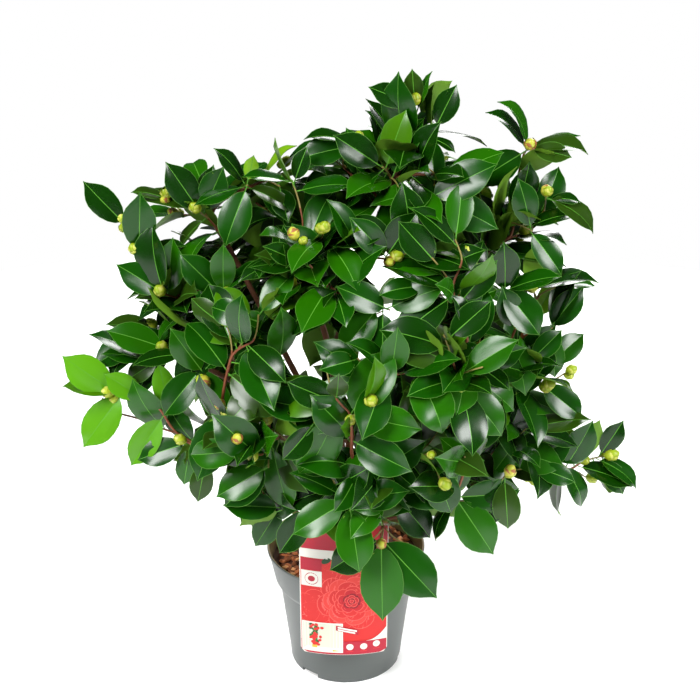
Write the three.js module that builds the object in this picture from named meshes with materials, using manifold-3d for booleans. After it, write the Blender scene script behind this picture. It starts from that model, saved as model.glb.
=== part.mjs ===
// A young camellia shrub in its nursery pot.
//
// Frame: millimetres, +Z up, origin at the centre of the pot's flat underside,
// the label card on the side that faces -Y.
// The plant is a short stem that forks into tapering boughs. Every bough ends where
// it enters a mass of foliage, and every mass is one closed, uneven solid.

import * as THREE from 'three';
import { mergeVertices } from 'three/addons/utils/BufferGeometryUtils.js';
import Module from 'manifold-3d';

const wasm = await Module();
wasm.setup();

// ---------------------------------------------------------------- driving sizes

const GAP = 0.4; // left between solids that touch on the real plant

const POT = {
  rimRadius: 95,
  height: 155,
  collarRadius: 86,
  collarHeight: 43,
  bodyRadius: 80,
  footRadius: 68,
  wall: 1.8,
  footRing: 9,
  hubRadius: 34,
  floorLift: 4,
  notchWidth: 24,
  notchHeight: 6,
  notchDepth: 30,
  notches: 3,
  notchTurn: 230, // degrees round from +X to the first notch
  drainRadius: 6,
  drains: 6,
  sides: 32,
};

const SOIL = { top: 141, dip: 2.5 };

const CARD = {
  width: 102,
  bottom: 62,
  top: 238,
  thickness: 1,
  bendRadius: 150,
  corner: 8,
  shift: -2,
};

const STEM = { foot: 9.5, tip: 8, fork: [2, 0, 205], flare: 0.3 };

const LIMB_SIDES = 6;
const LIMB_STEPS = 4;

const BALL_SIDES = 10;
const BALL_RINGS = 7;
const LUMP_DEPTH = 0.18; // how far a mass swells and sinks from its plain ellipsoid

// Centre and half sizes of each mass of foliage.
const MASSES = {
  leaves_top: { at: [80, 0, 672], half: [46, 44, 46] },
  leaves_top_left: { at: [18, 2, 618], half: [54, 46, 56] },
  leaves_top_front: { at: [84, -50, 612], half: [60, 44, 50] },
  leaves_top_back: { at: [66, 60, 594], half: [60, 50, 54] },
  leaves_right_tip_high: { at: [212, 16, 626], half: [56, 42, 48] },
  leaves_right_high: { at: [178, 8, 556], half: [70, 54, 56] },
  leaves_right_upper: { at: [226, -6, 474], half: [54, 48, 58] },
  leaves_right_middle: { at: [190, -46, 394], half: [66, 56, 50] },
  leaves_right_low_tip: { at: [288, -28, 280], half: [60, 42, 52] },
  leaves_right_low: { at: [196, -46, 304], half: [60, 52, 60] },
  leaves_right_skirt: { at: [138, -88, 270], half: [48, 42, 52] },
  leaves_front_low: { at: [14, -120, 302], half: [68, 50, 58] },
  leaves_front_rim: { at: [38, -134, 214], half: [64, 38, 52] },
  leaves_front_right_low: { at: [106, -130, 344], half: [58, 46, 54] },
  leaves_front_left_low: { at: [-106, -114, 352], half: [62, 48, 58] },
  leaves_front_middle: { at: [4, -142, 418], half: [72, 48, 64] },
  leaves_front_right: { at: [116, -120, 440], half: [66, 50, 62] },
  leaves_front_left: { at: [-98, -88, 460], half: [62, 48, 62] },
  leaves_front_upper_left: { at: [-22, -68, 530], half: [66, 50, 64] },
  leaves_front_upper_right: { at: [98, -72, 530], half: [64, 50, 62] },
  leaves_left_skirt: { at: [-92, -58, 254], half: [46, 46, 50] },
  leaves_left_low: { at: [-156, -22, 304], half: [54, 50, 52] },
  leaves_left_low_tip: { at: [-252, -20, 348], half: [72, 42, 58] },
  leaves_left_middle: { at: [-222, 0, 414], half: [66, 46, 42] },
  leaves_left_upper: { at: [-182, 0, 490], half: [66, 54, 54] },
  leaves_left_tip_high: { at: [-238, 2, 554], half: [42, 40, 47] },
  leaves_left_high: { at: [-154, 26, 570], half: [54, 48, 56] },
  leaves_shoulder: { at: [-66, 50, 572], half: [64, 52, 54] },
  leaves_back_upper_left: { at: [-72, 112, 496], half: [72, 64, 62] },
  leaves_back_upper_right: { at: [116, 100, 500], half: [70, 66, 62] },
  leaves_back_left: { at: [-150, 100, 398], half: [68, 72, 64] },
  leaves_back_middle: { at: [-4, 186, 398], half: [72, 54, 62] },
  leaves_back_right: { at: [146, 112, 392], half: [68, 72, 66] },
  leaves_back_low_left: { at: [-118, 88, 290], half: [64, 66, 60] },
  leaves_back_low: { at: [4, 148, 280], half: [66, 56, 56] },
  leaves_back_low_right: { at: [122, 84, 284], half: [62, 66, 60] },
};

// Each bough leaves its parent part way along, swings past a point and runs into a
// mass or, where it carries another bough, to a point.
const BOUGHS = {
  bough_centre_lower: {
    parent: 'stem', from: 0.93, past: [-8, -2, 300], to: [-14, -6, 400], foot: 6, tip: 4.6,
  },
  bough_centre_upper: {
    parent: 'bough_centre_lower', from: 1, past: [14, -6, 520], into: 'leaves_top', foot: 4.5, tip: 2.8,
  },
  bough_right_high: {
    parent: 'bough_centre_lower', from: 0.45, past: [70, 6, 400], into: 'leaves_right_high', foot: 4.2, tip: 2.8,
  },
  bough_right_middle: {
    parent: 'stem', from: 0.85, past: [86, -20, 266], into: 'leaves_right_middle', foot: 4.8, tip: 3,
  },
  bough_right_low: {
    parent: 'bough_right_middle', from: 0.45, past: [128, -28, 280], into: 'leaves_right_low',
    foot: 3.8, tip: 2.8,
  },
  bough_right_skirt: {
    parent: 'stem', from: 0.6, past: [70, -44, 216], into: 'leaves_right_skirt', foot: 4, tip: 2.6,
  },
  bough_left_upper: {
    parent: 'stem', from: 0.9, past: [-86, 6, 330], into: 'leaves_left_upper', foot: 4.8, tip: 3,
  },
  bough_left_high: {
    parent: 'bough_centre_lower', from: 0.3, past: [-84, 18, 430], into: 'leaves_left_high',
    foot: 4, tip: 2.6,
  },
  bough_left_middle: {
    parent: 'bough_left_upper', from: 0.5, past: [-140, 0, 380], into: 'leaves_left_middle',
    foot: 3.6, tip: 2.6,
  },
  bough_left_low: {
    parent: 'stem', from: 0.72, past: [-70, -8, 246], into: 'leaves_left_low', foot: 4.4, tip: 2.8,
  },
  bough_left_skirt: {
    parent: 'stem', from: 0.5, past: [-46, -26, 196], into: 'leaves_left_skirt', foot: 3.8, tip: 2.6,
  },
  bough_front_low: {
    parent: 'stem', from: 0.88, past: [6, -44, 250], into: 'leaves_front_low', foot: 4.2, tip: 2.8,
  },
  bough_front_rim: {
    parent: 'stem', from: 0.7, past: [50, -62, 300], into: 'leaves_front_rim', foot: 3.8, tip: 2.6,
  },
  bough_front_left: {
    parent: 'bough_centre_lower', from: 0.35, past: [-50, -50, 330], into: 'leaves_front_left_low',
    foot: 3.8, tip: 2.6,
  },
  bough_front_right: {
    parent: 'bough_centre_lower', from: 0.6, past: [44, -50, 380], into: 'leaves_front_right',
    foot: 4, tip: 2.6,
  },
  bough_front_upper: {
    parent: 'bough_centre_upper', from: 0.12, past: [0, -20, 450], into: 'leaves_front_upper_left',
    foot: 3.6, tip: 2.4,
  },
  bough_back_left: {
    parent: 'stem', from: 0.8, past: [-56, 50, 290], into: 'leaves_back_left', foot: 4.2, tip: 2.6,
  },
  bough_back_low: {
    parent: 'stem', from: 0.65, past: [2, 70, 226], into: 'leaves_back_low', foot: 4.2, tip: 2.8,
  },
  bough_back_right: {
    parent: 'stem', from: 0.78, past: [62, 50, 290], into: 'leaves_back_right', foot: 4.2, tip: 2.6,
  },
  bough_back_upper: {
    parent: 'bough_centre_lower', from: 0.85, past: [-24, 56, 440], into: 'leaves_back_upper_left',
    foot: 3.8, tip: 2.6,
  },
};

// ---------------------------------------------------------------- finishes

function finish(color, roughness) {
  return new THREE.MeshStandardMaterial({ color, roughness, metalness: 0 });
}

const FINISHES = {
  pot: finish(0x7b8682, 0.5),
  soil: finish(0x4a2c1c, 0.95),
  card: finish(0xd8423f, 0.45),
  bark: finish(0x6b4432, 0.75),
  foliage: finish(0x1f5a24, 0.4),
};

// ---------------------------------------------------------------- solids and meshes

function solidFrom(geometry) {
  const bare = geometry.clone();
  bare.deleteAttribute('normal');
  bare.deleteAttribute('uv');
  const merged = mergeVertices(bare, 1e-4);
  const mesh = new wasm.Mesh({
    numProp: 3,
    vertProperties: new Float32Array(merged.attributes.position.array),
    triVerts: new Uint32Array(merged.index.array),
  });
  return new wasm.Manifold(mesh);
}

function geometryFrom(solid) {
  const { vertProperties, triVerts } = solid.getMesh();
  const geometry = new THREE.BufferGeometry();
  geometry.setAttribute('position', new THREE.BufferAttribute(vertProperties, 3));
  geometry.setIndex(new THREE.BufferAttribute(triVerts, 1));
  return geometry;
}

const camellia = new THREE.Group();

function addPart(name, solid, material) {
  const mesh = new THREE.Mesh(geometryFrom(solid), material);
  mesh.name = name;
  camellia.add(mesh);
}

// ---------------------------------------------------------------- pot

function potShell() {
  const p = POT;
  const stepHeight = p.height - p.collarHeight;
  const outline = [
    [0, 0],
    [p.hubRadius, 0],
    [p.hubRadius + p.floorLift, p.floorLift],
    [p.footRadius - p.footRing, p.floorLift],
    [p.footRadius - p.footRing, 0],
    [p.footRadius - 1.5, 0],
    [p.footRadius, 1.5],
    [p.bodyRadius, stepHeight - 5],
    [p.collarRadius, stepHeight],
    [p.rimRadius - 1.2, p.height - 4],
    [p.rimRadius, p.height - 3],
    [p.rimRadius, p.height],
    [p.rimRadius - p.wall - 1, p.height],
    [p.collarRadius - p.wall, stepHeight + 0.6],
    [p.bodyRadius - p.wall, stepHeight - 4.4],
    [p.footRadius - p.wall + 0.6, p.floorLift + p.wall],
    [0, p.floorLift + p.wall],
  ];
  const profile = outline.map(([radius, z]) => new THREE.Vector2(radius, z));
  const lathe = new THREE.LatheGeometry(profile, p.sides);
  lathe.rotateX(Math.PI / 2);
  return solidFrom(lathe);
}

function aroundPot(count, turn, shape) {
  const cuts = [];
  for (let i = 0; i < count; i += 1) {
    const cut = shape.clone();
    cut.rotateZ(turn + (i * 2 * Math.PI) / count);
    cuts.push(solidFrom(cut));
  }
  return cuts;
}

function makePot() {
  const notch = new THREE.BoxGeometry(POT.notchDepth, POT.notchWidth, 2 * POT.notchHeight);
  notch.translate(POT.footRadius, 0, 0);
  const drain = new THREE.CylinderGeometry(POT.drainRadius, POT.drainRadius, 12, 8);
  drain.rotateX(Math.PI / 2);
  drain.translate((POT.hubRadius + POT.footRadius - POT.footRing) / 2 + 2, 0, POT.floorLift + 1);
  const turn = THREE.MathUtils.degToRad(POT.notchTurn);
  const cuts = [
    ...aroundPot(POT.notches, turn, notch),
    ...aroundPot(POT.drains, turn + Math.PI / POT.drains, drain),
  ];
  return cuts.reduce((shell, cut) => shell.subtract(cut), potShell());
}

// ---------------------------------------------------------------- soil

// The soil fills the pot up to a little below the rim, clear of the wall by the gap.
function makeSoil() {
  const p = POT;
  const stepHeight = p.height - p.collarHeight;
  const clear = p.wall + 2 * GAP;
  const rimShare = (SOIL.top - SOIL.dip - stepHeight) / p.collarHeight;
  const outline = [
    [0, p.floorLift + p.wall + GAP],
    [p.footRadius - clear, p.floorLift + p.wall + GAP],
    [p.bodyRadius - clear, stepHeight - 4],
    [p.collarRadius - clear, stepHeight + 1],
    [THREE.MathUtils.lerp(p.collarRadius, p.rimRadius - 1.2, rimShare) - clear, SOIL.top - SOIL.dip],
    [p.collarRadius * 0.6, SOIL.top],
    [0, SOIL.top],
  ];
  const profile = outline.map(([radius, z]) => new THREE.Vector2(radius, z));
  const lathe = new THREE.LatheGeometry(profile, p.sides);
  lathe.rotateX(Math.PI / 2);
  return solidFrom(lathe);
}

// ---------------------------------------------------------------- label card

// A bent strip as tall as the card is cut to the card's outline, seen from the front.
function makeCard(grow = 0) {
  const c = CARD;
  const halfTurn = c.width / 2 / c.bendRadius;
  const front = -Math.PI / 2;
  const section = new THREE.Shape();
  section.absarc(0, 0, c.bendRadius + c.thickness + grow, front - halfTurn, front + halfTurn, false);
  section.absarc(0, 0, c.bendRadius - grow, front + halfTurn, front - halfTurn, true);
  const strip = new THREE.ExtrudeGeometry(section, {
    depth: c.top - c.bottom, bevelEnabled: false, curveSegments: 10,
  });
  const outline = new THREE.Shape();
  outline.moveTo(-c.width, c.top + 1);
  outline.lineTo(-c.width / 2 + 1, c.bottom + c.corner);
  outline.quadraticCurveTo(-c.width / 2 + 1, c.bottom, -c.width / 2 + c.corner, c.bottom);
  outline.lineTo(c.width / 2 - c.corner, c.bottom);
  outline.quadraticCurveTo(c.width / 2 - 1, c.bottom, c.width / 2 - 1, c.bottom + c.corner);
  outline.lineTo(c.width, c.top + 1);
  const block = new THREE.ExtrudeGeometry(outline, {
    depth: 2 * c.width, bevelEnabled: false, curveSegments: 4,
  });
  block.rotateX(Math.PI / 2);
  const bendCentre = c.bendRadius - POT.rimRadius - GAP;
  strip.translate(c.shift, bendCentre, c.bottom);
  block.translate(c.shift, 0, 0);
  return solidFrom(strip).intersect(solidFrom(block));
}

// ---------------------------------------------------------------- limbs

// A straight cylinder is bent along a curve. Its radius falls evenly from foot to
// tip, and a flare widens the foot.
function taperedLimb(curve, foot, tip, flare = 0) {
  const limb = new THREE.CylinderGeometry(1, 1, 1, LIMB_SIDES, LIMB_STEPS);
  const frames = curve.computeFrenetFrames(LIMB_STEPS);
  const place = limb.attributes.position;
  const spot = new THREE.Vector3();
  for (let i = 0; i < place.count; i += 1) {
    const along = place.getY(i) + 0.5;
    const step = Math.round(along * LIMB_STEPS);
    const radius = THREE.MathUtils.lerp(foot, tip, along) * (1 + flare * (1 - along) ** 4);
    curve.getPointAt(along, spot);
    spot.addScaledVector(frames.normals[step], radius * place.getX(i));
    spot.addScaledVector(frames.binormals[step], -radius * place.getZ(i));
    place.setXYZ(i, spot.x, spot.y, spot.z);
  }
  return solidFrom(limb);
}

const limbCurves = {};
const limbs = {};
const swollenLimbs = {};

function keepLimb(name, curve, foot, tip, flare) {
  limbCurves[name] = curve;
  limbs[name] = taperedLimb(curve, foot, tip, flare);
  swollenLimbs[name] = taperedLimb(curve, foot + GAP, tip + GAP, flare);
}

const soilTop = new THREE.Vector3(0, 0, SOIL.top + GAP);
const stemFork = new THREE.Vector3(...STEM.fork);
const stemBend = new THREE.Vector3(0, 0, (soilTop.z + stemFork.z) / 2);
keepLimb(
  'stem',
  new THREE.QuadraticBezierCurve3(soilTop, stemBend, stemFork),
  STEM.foot,
  STEM.tip,
  STEM.flare,
);

for (const [name, bough] of Object.entries(BOUGHS)) {
  const start = limbCurves[bough.parent].getPointAt(bough.from);
  const end = new THREE.Vector3(...(bough.to ?? MASSES[bough.into].at));
  const past = new THREE.Vector3(...bough.past);
  keepLimb(name, new THREE.QuadraticBezierCurve3(start, past, end), bough.foot, bough.tip, 0.15);
}

// A limb starts on the surface of the limbs made before it.
const limbNames = Object.keys(limbs);
for (let later = limbNames.length - 1; later > 0; later -= 1) {
  for (let earlier = 0; earlier < later; earlier += 1) {
    limbs[limbNames[later]] = limbs[limbNames[later]].subtract(swollenLimbs[limbNames[earlier]]);
  }
}

// ---------------------------------------------------------------- masses of foliage

// A ball is pulled to its half sizes. Three slow waves, different on every mass,
// swell and sink its surface.
function unevenMass({ at, half }, order, grow = 0) {
  const ball = new THREE.SphereGeometry(1, BALL_SIDES, BALL_RINGS);
  const place = ball.attributes.position;
  const spot = new THREE.Vector3();
  for (let i = 0; i < place.count; i += 1) {
    spot.fromBufferAttribute(place, i).normalize();
    const wave = Math.sin(3.4 * spot.x + 1.7 * order)
      + Math.sin(3.9 * spot.y + 2.3 * order)
      + Math.sin(4.3 * spot.z + 2.9 * order);
    const swell = 1 + (LUMP_DEPTH * wave) / 3;
    place.setXYZ(
      i,
      at[0] + spot.x * (half[0] * swell + grow),
      at[1] + spot.y * (half[1] * swell + grow),
      at[2] + spot.z * (half[2] * swell + grow),
    );
  }
  return solidFrom(ball);
}

// Two masses that run into each other are parted along a plane between them, placed
// in the share of their sizes along the line between their centres.
function reachAlong(half, direction) {
  const x = direction.x / half[0];
  const y = direction.y / half[1];
  const z = direction.z / half[2];
  return 1 / Math.hypot(x, y, z);
}

const massNames = Object.keys(MASSES);
const masses = {};
const swollenMasses = {};
massNames.forEach((name, order) => {
  masses[name] = unevenMass(MASSES[name], order);
  swollenMasses[name] = unevenMass(MASSES[name], order, GAP);
});

function partMasses(one, other) {
  if (masses[one].intersect(masses[other]).isEmpty()) {
    return;
  }
  const from = new THREE.Vector3(...MASSES[one].at);
  const across = new THREE.Vector3(...MASSES[other].at).sub(from);
  const distance = across.length();
  across.normalize();
  const near = reachAlong(MASSES[one].half, across);
  const far = reachAlong(MASSES[other].half, across);
  const middle = from.dot(across) + (distance * near) / (near + far);
  const towards = across.toArray();
  const back = across.clone().negate().toArray();
  masses[one] = masses[one].trimByPlane(back, -middle + GAP / 2);
  masses[other] = masses[other].trimByPlane(towards, middle + GAP / 2);
}

for (let one = 0; one < massNames.length; one += 1) {
  for (let other = one + 1; other < massNames.length; other += 1) {
    partMasses(massNames[one], massNames[other]);
  }
}

// The mass that hangs over the rim keeps clear of the card behind it.
masses.leaves_front_rim = masses.leaves_front_rim.subtract(makeCard(GAP));

// A bough ends where it enters its mass, and the other masses are cut round it.
for (const [name, bough] of Object.entries(BOUGHS)) {
  for (const mass of massNames) {
    if (mass === bough.into) {
      limbs[name] = limbs[name].subtract(swollenMasses[mass]);
    } else {
      masses[mass] = masses[mass].subtract(swollenLimbs[name]);
    }
  }
}

// ---------------------------------------------------------------- assembly

addPart('pot', makePot(), FINISHES.pot);
addPart('soil', makeSoil(), FINISHES.soil);
addPart('label_card', makeCard(), FINISHES.card);
for (const name of limbNames) {
  addPart(name, limbs[name], FINISHES.bark);
}
for (const name of massNames) {
  addPart(name, masses[name], FINISHES.foliage);
}

export default camellia;
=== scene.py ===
# %% [markdown]
# # A camellia shrub in its nursery pot
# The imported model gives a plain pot, plain limbs and one uneven solid for every mass of
# foliage. This lesson dresses them: bark on the limbs, twigs that grow on from the
# limbs into the masses, leaves and buds on the twigs, bark chips on the soil, a moulded
# pot and a printed card. Everything is in metres and in the frame's own coordinates,
# so each piece goes where its box says, and nothing is fitted by eye.

# %% Load the frame and keep its box
import math
import bpy
import numpy as np
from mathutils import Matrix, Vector


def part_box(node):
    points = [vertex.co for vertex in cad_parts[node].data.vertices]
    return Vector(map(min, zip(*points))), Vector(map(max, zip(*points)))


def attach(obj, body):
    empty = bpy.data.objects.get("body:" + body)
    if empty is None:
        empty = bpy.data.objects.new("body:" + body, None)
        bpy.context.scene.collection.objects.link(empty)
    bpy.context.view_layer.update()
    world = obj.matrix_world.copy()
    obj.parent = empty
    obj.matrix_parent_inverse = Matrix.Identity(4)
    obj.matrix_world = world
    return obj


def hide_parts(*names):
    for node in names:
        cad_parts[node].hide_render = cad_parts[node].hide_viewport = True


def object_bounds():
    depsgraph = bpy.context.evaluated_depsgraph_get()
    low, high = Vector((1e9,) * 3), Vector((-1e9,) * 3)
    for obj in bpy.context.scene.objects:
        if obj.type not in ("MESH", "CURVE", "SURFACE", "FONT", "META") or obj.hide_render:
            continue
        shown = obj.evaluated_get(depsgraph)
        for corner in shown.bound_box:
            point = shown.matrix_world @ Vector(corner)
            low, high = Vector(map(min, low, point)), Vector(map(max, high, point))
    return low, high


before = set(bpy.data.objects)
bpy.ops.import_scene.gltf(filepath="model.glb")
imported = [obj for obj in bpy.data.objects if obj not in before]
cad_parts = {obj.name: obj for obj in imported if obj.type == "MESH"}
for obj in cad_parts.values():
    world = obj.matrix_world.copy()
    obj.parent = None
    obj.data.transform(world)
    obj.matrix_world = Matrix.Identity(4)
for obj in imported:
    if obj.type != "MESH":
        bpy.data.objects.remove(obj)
cad_low, cad_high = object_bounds()
MM = 0.001
LEAF_NODES = sorted(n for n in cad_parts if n.startswith("leaves_"))
LIMB_NODES = sorted(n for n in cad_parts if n.startswith("bough_")) + ["stem"]
pot_low, pot_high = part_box("pot")
pot_radius = (pot_high.x - pot_low.x) / 2
random = np.random.default_rng(7)
print("box", [round(v, 3) for v in cad_low], [round(v, 3) for v in cad_high])
print(len(LEAF_NODES), "masses of foliage and", len(LIMB_NODES), "limbs")

# %% [markdown]
# ## The camera comes first
# The camera looks down on the shrub from a little above the crown, as one looks at a
# pot on the floor. With its place known, the size of anything on screen can be judged
# while it is made. A long lens would flatten the pot's rim, so the lens is a short
# portrait lens and the camera stands a metre and a quarter away.

# %% Place the camera
CAMERA_PLACE = Vector((0.0051, -1.253, 0.923))
CAMERA_PITCH = math.radians(22.4)
LENS_MM = 61.7

camera_data = bpy.data.cameras.new("camera")
camera_data.lens = LENS_MM
camera_data.sensor_width = 36
camera = bpy.data.objects.new("camera", camera_data)
camera.location = CAMERA_PLACE
camera.rotation_euler = (math.pi / 2 - CAMERA_PITCH, 0, 0)
bpy.context.scene.collection.objects.link(camera)
bpy.context.scene.camera = camera
print("camera", tuple(round(v, 3) for v in camera.location))

# %% [markdown]
# ## Colours and plain finishes
# Colours are chosen on a screen, so they are written as screen values and turned
# into the linear values that shaders use. A leaf, a bud or a petal has one even colour
# per face, so its finish is a single Principled shader with plain numbers. The variety
# comes from dealing several such finishes out.

# %% Colour and finish helpers
def linear(red, green, blue):
    """A screen colour, 0 to 255, as the linear colour that a shader takes."""
    values = [v / 255 for v in (red, green, blue)]
    return [v / 12.92 if v <= 0.04045 else ((v + 0.055) / 1.055) ** 2.4 for v in values] + [1.0]


def plain_finish(name, colour, roughness, shine=0.5):
    """One even colour on one Principled shader."""
    finish = bpy.data.materials.new(name)
    finish.use_nodes = True
    shader = finish.node_tree.nodes["Principled BSDF"]
    shader.inputs["Base Color"].default_value = linear(*colour)
    shader.inputs["Roughness"].default_value = roughness
    shader.inputs["Specular IOR Level"].default_value = shine
    return finish


# %% [markdown]
# ## Meshes from arrays
# Thousands of leaves are quick to make when one array holds the corners of them all.
# The helper takes corners, four-cornered faces and a finish number for each face, and
# makes one joined mesh. Edges that part an upper side from an underside are marked
# sharp, so that light does not smear round a leaf's rim.

# %% Joined mesh helper
def joined_mesh(name, corners, faces, finishes, finish_of_face=None, sharp=None):
    """A mesh object from arrays: corners (n, 3), faces (m, 4), a finish per face."""
    mesh = bpy.data.meshes.new(name)
    corners = np.asarray(corners, np.float32).reshape(-1, 3)
    faces = np.asarray(faces, np.int32).reshape(-1, 4)
    mesh.vertices.add(len(corners))
    mesh.vertices.foreach_set("co", corners.ravel())
    mesh.loops.add(faces.size)
    mesh.loops.foreach_set("vertex_index", faces.ravel())
    mesh.polygons.add(len(faces))
    mesh.polygons.foreach_set("loop_start", np.arange(len(faces), dtype=np.int32) * 4)
    mesh.polygons.foreach_set("loop_total", np.full(len(faces), 4, np.int32))
    for finish in finishes:
        mesh.materials.append(finish)
    if finish_of_face is not None:
        mesh.polygons.foreach_set("material_index", np.asarray(finish_of_face, np.int32))
    mesh.polygons.foreach_set("use_smooth", np.ones(len(faces), bool))
    mesh.update(calc_edges=True)
    if sharp is not None:
        ends = np.zeros(len(mesh.edges) * 2, np.int32)
        mesh.edges.foreach_get("vertices", ends)
        both = sharp[ends.reshape(-1, 2)].all(axis=1)
        mesh.edges.foreach_set("use_edge_sharp", both)
    mesh.validate()
    piece = bpy.data.objects.new(name, mesh)
    bpy.context.scene.collection.objects.link(piece)
    return piece


def fix_on_root(piece, slot, *nodes):
    """The piece stands for these nodes and rides on the one body. The slot is not used."""
    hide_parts(*nodes)
    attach(piece, "root")
    print(piece.name, len(piece.data.polygons), "faces")
    return piece


# %% [markdown]
# ## The pot
# A nursery pot is drawn up from one circle: its outline is walked from the middle of
# the underside out to the foot, up the body, out at the collar, over the rim and down
# inside again. Each step is an extrusion followed by a change of size, which is how a
# turned shape is made without a lathe. The notches at its foot and the holes in its
# floor are cut out afterwards.

# %% Outline of the pot: radius and height of every ring, from the underside's middle
POT_SIDES = 128
POT_WALL = 1.8 * MM
FOOT_SHARE, BODY_SHARE, COLLAR_SHARE = 0.716, 0.842, 0.905  # of the rim's radius
COLLAR_AT = 0.723  # of the pot's height
FLOOR_LIFT = 4 * MM
pot_height = pot_high.z
foot, body, collar = (share * pot_radius for share in (FOOT_SHARE, BODY_SHARE, COLLAR_SHARE))
collar_z = COLLAR_AT * pot_height
outside = [
    (34 * MM, 0), (38 * MM, FLOOR_LIFT), (foot - 9 * MM, FLOOR_LIFT), (foot - 8.4 * MM, 0),
    (foot - 1.6 * MM, 0), (foot - 0.4 * MM, 0.7 * MM), (foot, 2 * MM),
    (foot + 1.2 * MM, 16 * MM),
    (body - 0.3 * MM, collar_z - 7 * MM), (body + 0.8 * MM, collar_z - 5 * MM),
    (collar - 1 * MM, collar_z + 1 * MM), (collar, collar_z + 3 * MM),
    (pot_radius - 1.6 * MM, pot_height - 4.6 * MM), (pot_radius - 0.4 * MM, pot_height - 3.8 * MM),
    (pot_radius, pot_height - 2.6 * MM), (pot_radius - 0.1 * MM, pot_height - 0.8 * MM),
    (pot_radius - 0.9 * MM, pot_height),
]
inside = [
    (pot_radius - 2.3 * MM, pot_height - 0.4 * MM), (pot_radius - 2.9 * MM, pot_height - 2 * MM),
    (collar - POT_WALL, collar_z + 2 * MM), (body - POT_WALL, collar_z - 5 * MM),
    (foot - POT_WALL + 1 * MM, FLOOR_LIFT + 3 * MM),
    (foot - POT_WALL - 1 * MM, FLOOR_LIFT + POT_WALL),
]
print("pot outline", len(outside) + len(inside), "rings")


# %% Turn an outline and cut pieces away
def turned(name, outline, sides):
    """A closed turned shape: the first and last ring of the outline are filled."""
    bpy.ops.object.select_all(action="DESELECT")
    bpy.ops.mesh.primitive_circle_add(vertices=sides, radius=outline[0][0], fill_type="NGON",
                                      location=(0, 0, outline[0][1]))
    piece = bpy.context.object
    piece.name = name
    bpy.ops.object.transform_apply(location=True)
    bpy.ops.object.mode_set(mode="EDIT")
    bpy.ops.mesh.select_all(action="SELECT")
    for (r0, z0), (r1, z1) in zip(outline, outline[1:]):
        bpy.ops.mesh.extrude_region_move(TRANSFORM_OT_translate={"value": (0, 0, z1 - z0)})
        bpy.ops.transform.resize(value=(r1 / r0, r1 / r0, 1), center_override=(0, 0, z1))
    bpy.ops.mesh.select_all(action="SELECT")
    bpy.ops.mesh.normals_make_consistent(inside=False)
    bpy.ops.object.mode_set(mode="OBJECT")
    return piece


def cut_away(piece, cutters):
    """Every cutter is taken out of the piece and then thrown away."""
    bpy.ops.object.select_all(action="DESELECT")
    for cutter in cutters:
        cutter.select_set(True)
    bpy.context.view_layer.objects.active = cutters[0]
    bpy.ops.object.join()
    tool = bpy.context.object
    bpy.ops.object.select_all(action="DESELECT")
    bpy.context.view_layer.objects.active = piece
    piece.select_set(True)
    cut = piece.modifiers.new("cut", "BOOLEAN")
    cut.object, cut.operation, cut.solver = tool, "DIFFERENCE", "EXACT"
    bpy.ops.object.modifier_apply(modifier="cut")
    bpy.data.objects.remove(tool)


# %% Turn the pot, with its notches and drain holes
NOTCH_TURN = math.radians(230)
NOTCH_DEPTH, NOTCH_WIDTH, NOTCH_HEIGHT, NOTCHES = 26 * MM, 24 * MM, 6 * MM, 3
DRAINS, DRAIN_REACH, DRAIN_RADIUS, DRAIN_DEPTH = 6, 48.5 * MM, 6 * MM, 12 * MM
pot = turned("nursery_pot", outside + inside, POT_SIDES)
cutters = []
for k in range(NOTCHES):
    turn = NOTCH_TURN + k * 2 * math.pi / NOTCHES
    bpy.ops.mesh.primitive_cube_add(
        size=1, location=(foot * math.cos(turn), foot * math.sin(turn), 0),
        rotation=(0, 0, turn), scale=(NOTCH_DEPTH, NOTCH_WIDTH, 2 * NOTCH_HEIGHT))
    cutters.append(bpy.context.object)
for k in range(DRAINS):
    turn = NOTCH_TURN + (2 * k + 1) * math.pi / DRAINS
    bpy.ops.mesh.primitive_cylinder_add(
        vertices=24, radius=DRAIN_RADIUS, depth=DRAIN_DEPTH,
        location=(DRAIN_REACH * math.cos(turn), DRAIN_REACH * math.sin(turn), 5 * MM))
    cutters.append(bpy.context.object)
cut_away(pot, cutters)
bpy.ops.object.shade_smooth_by_angle(angle=math.radians(35))
print(NOTCHES, "notches and", DRAINS, "drain holes")

# %% Grey outside, and brownish on the inner wall near the rim
BROWN_BAND_DEPTH = 60 * MM
pot.data.materials.append(plain_finish("pot_grey", (70, 75, 73), 0.36))
pot.data.materials.append(plain_finish("pot_inside", (142, 122, 84), 0.6))
# inward faces in the top of the pot, inside the rim, take the brownish finish
for face in pot.data.polygons:
    middle = face.center
    inward = face.normal.x * middle.x + face.normal.y * middle.y < 0
    brown_band = inward and middle.z > pot_height - BROWN_BAND_DEPTH
    face.material_index = 1 if brown_band and math.hypot(middle.x, middle.y) < pot_radius else 0
fix_on_root(pot, "pot", "pot")

# %% [markdown]
# ## Soil under bark chips
# The soil is a turned drum that fills the pot. What one sees of it is a layer of bark
# chips, so a few hundred chips lie on it, each a small uneven lump of its own, in four
# browns. They are modelled as arrays, because placing them by hand would take a day.

# %% Drum of soil
DRUM_SIDES = 64
DRUM_GAP = 4 * MM  # from the pot's outside to the drum
soil_low, soil_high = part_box("soil")
soil_radius = (soil_high.x - soil_low.x) / 2
drum = turned("soil_drum", [
    (foot - DRUM_GAP, soil_low.z), (body - DRUM_GAP, collar_z - 5 * MM),
    (collar - DRUM_GAP, collar_z + 2 * MM), (soil_radius - 1.2 * MM, soil_high.z - 2.5 * MM),
    (soil_radius * 0.6, soil_high.z), (soil_radius * 0.1, soil_high.z),
], DRUM_SIDES)
drum.data.materials.append(plain_finish("soil_dark", (74, 40, 20), 0.95))
bpy.ops.object.shade_smooth_by_angle(angle=math.radians(40))
fix_on_root(drum, "soil", "soil")

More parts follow.
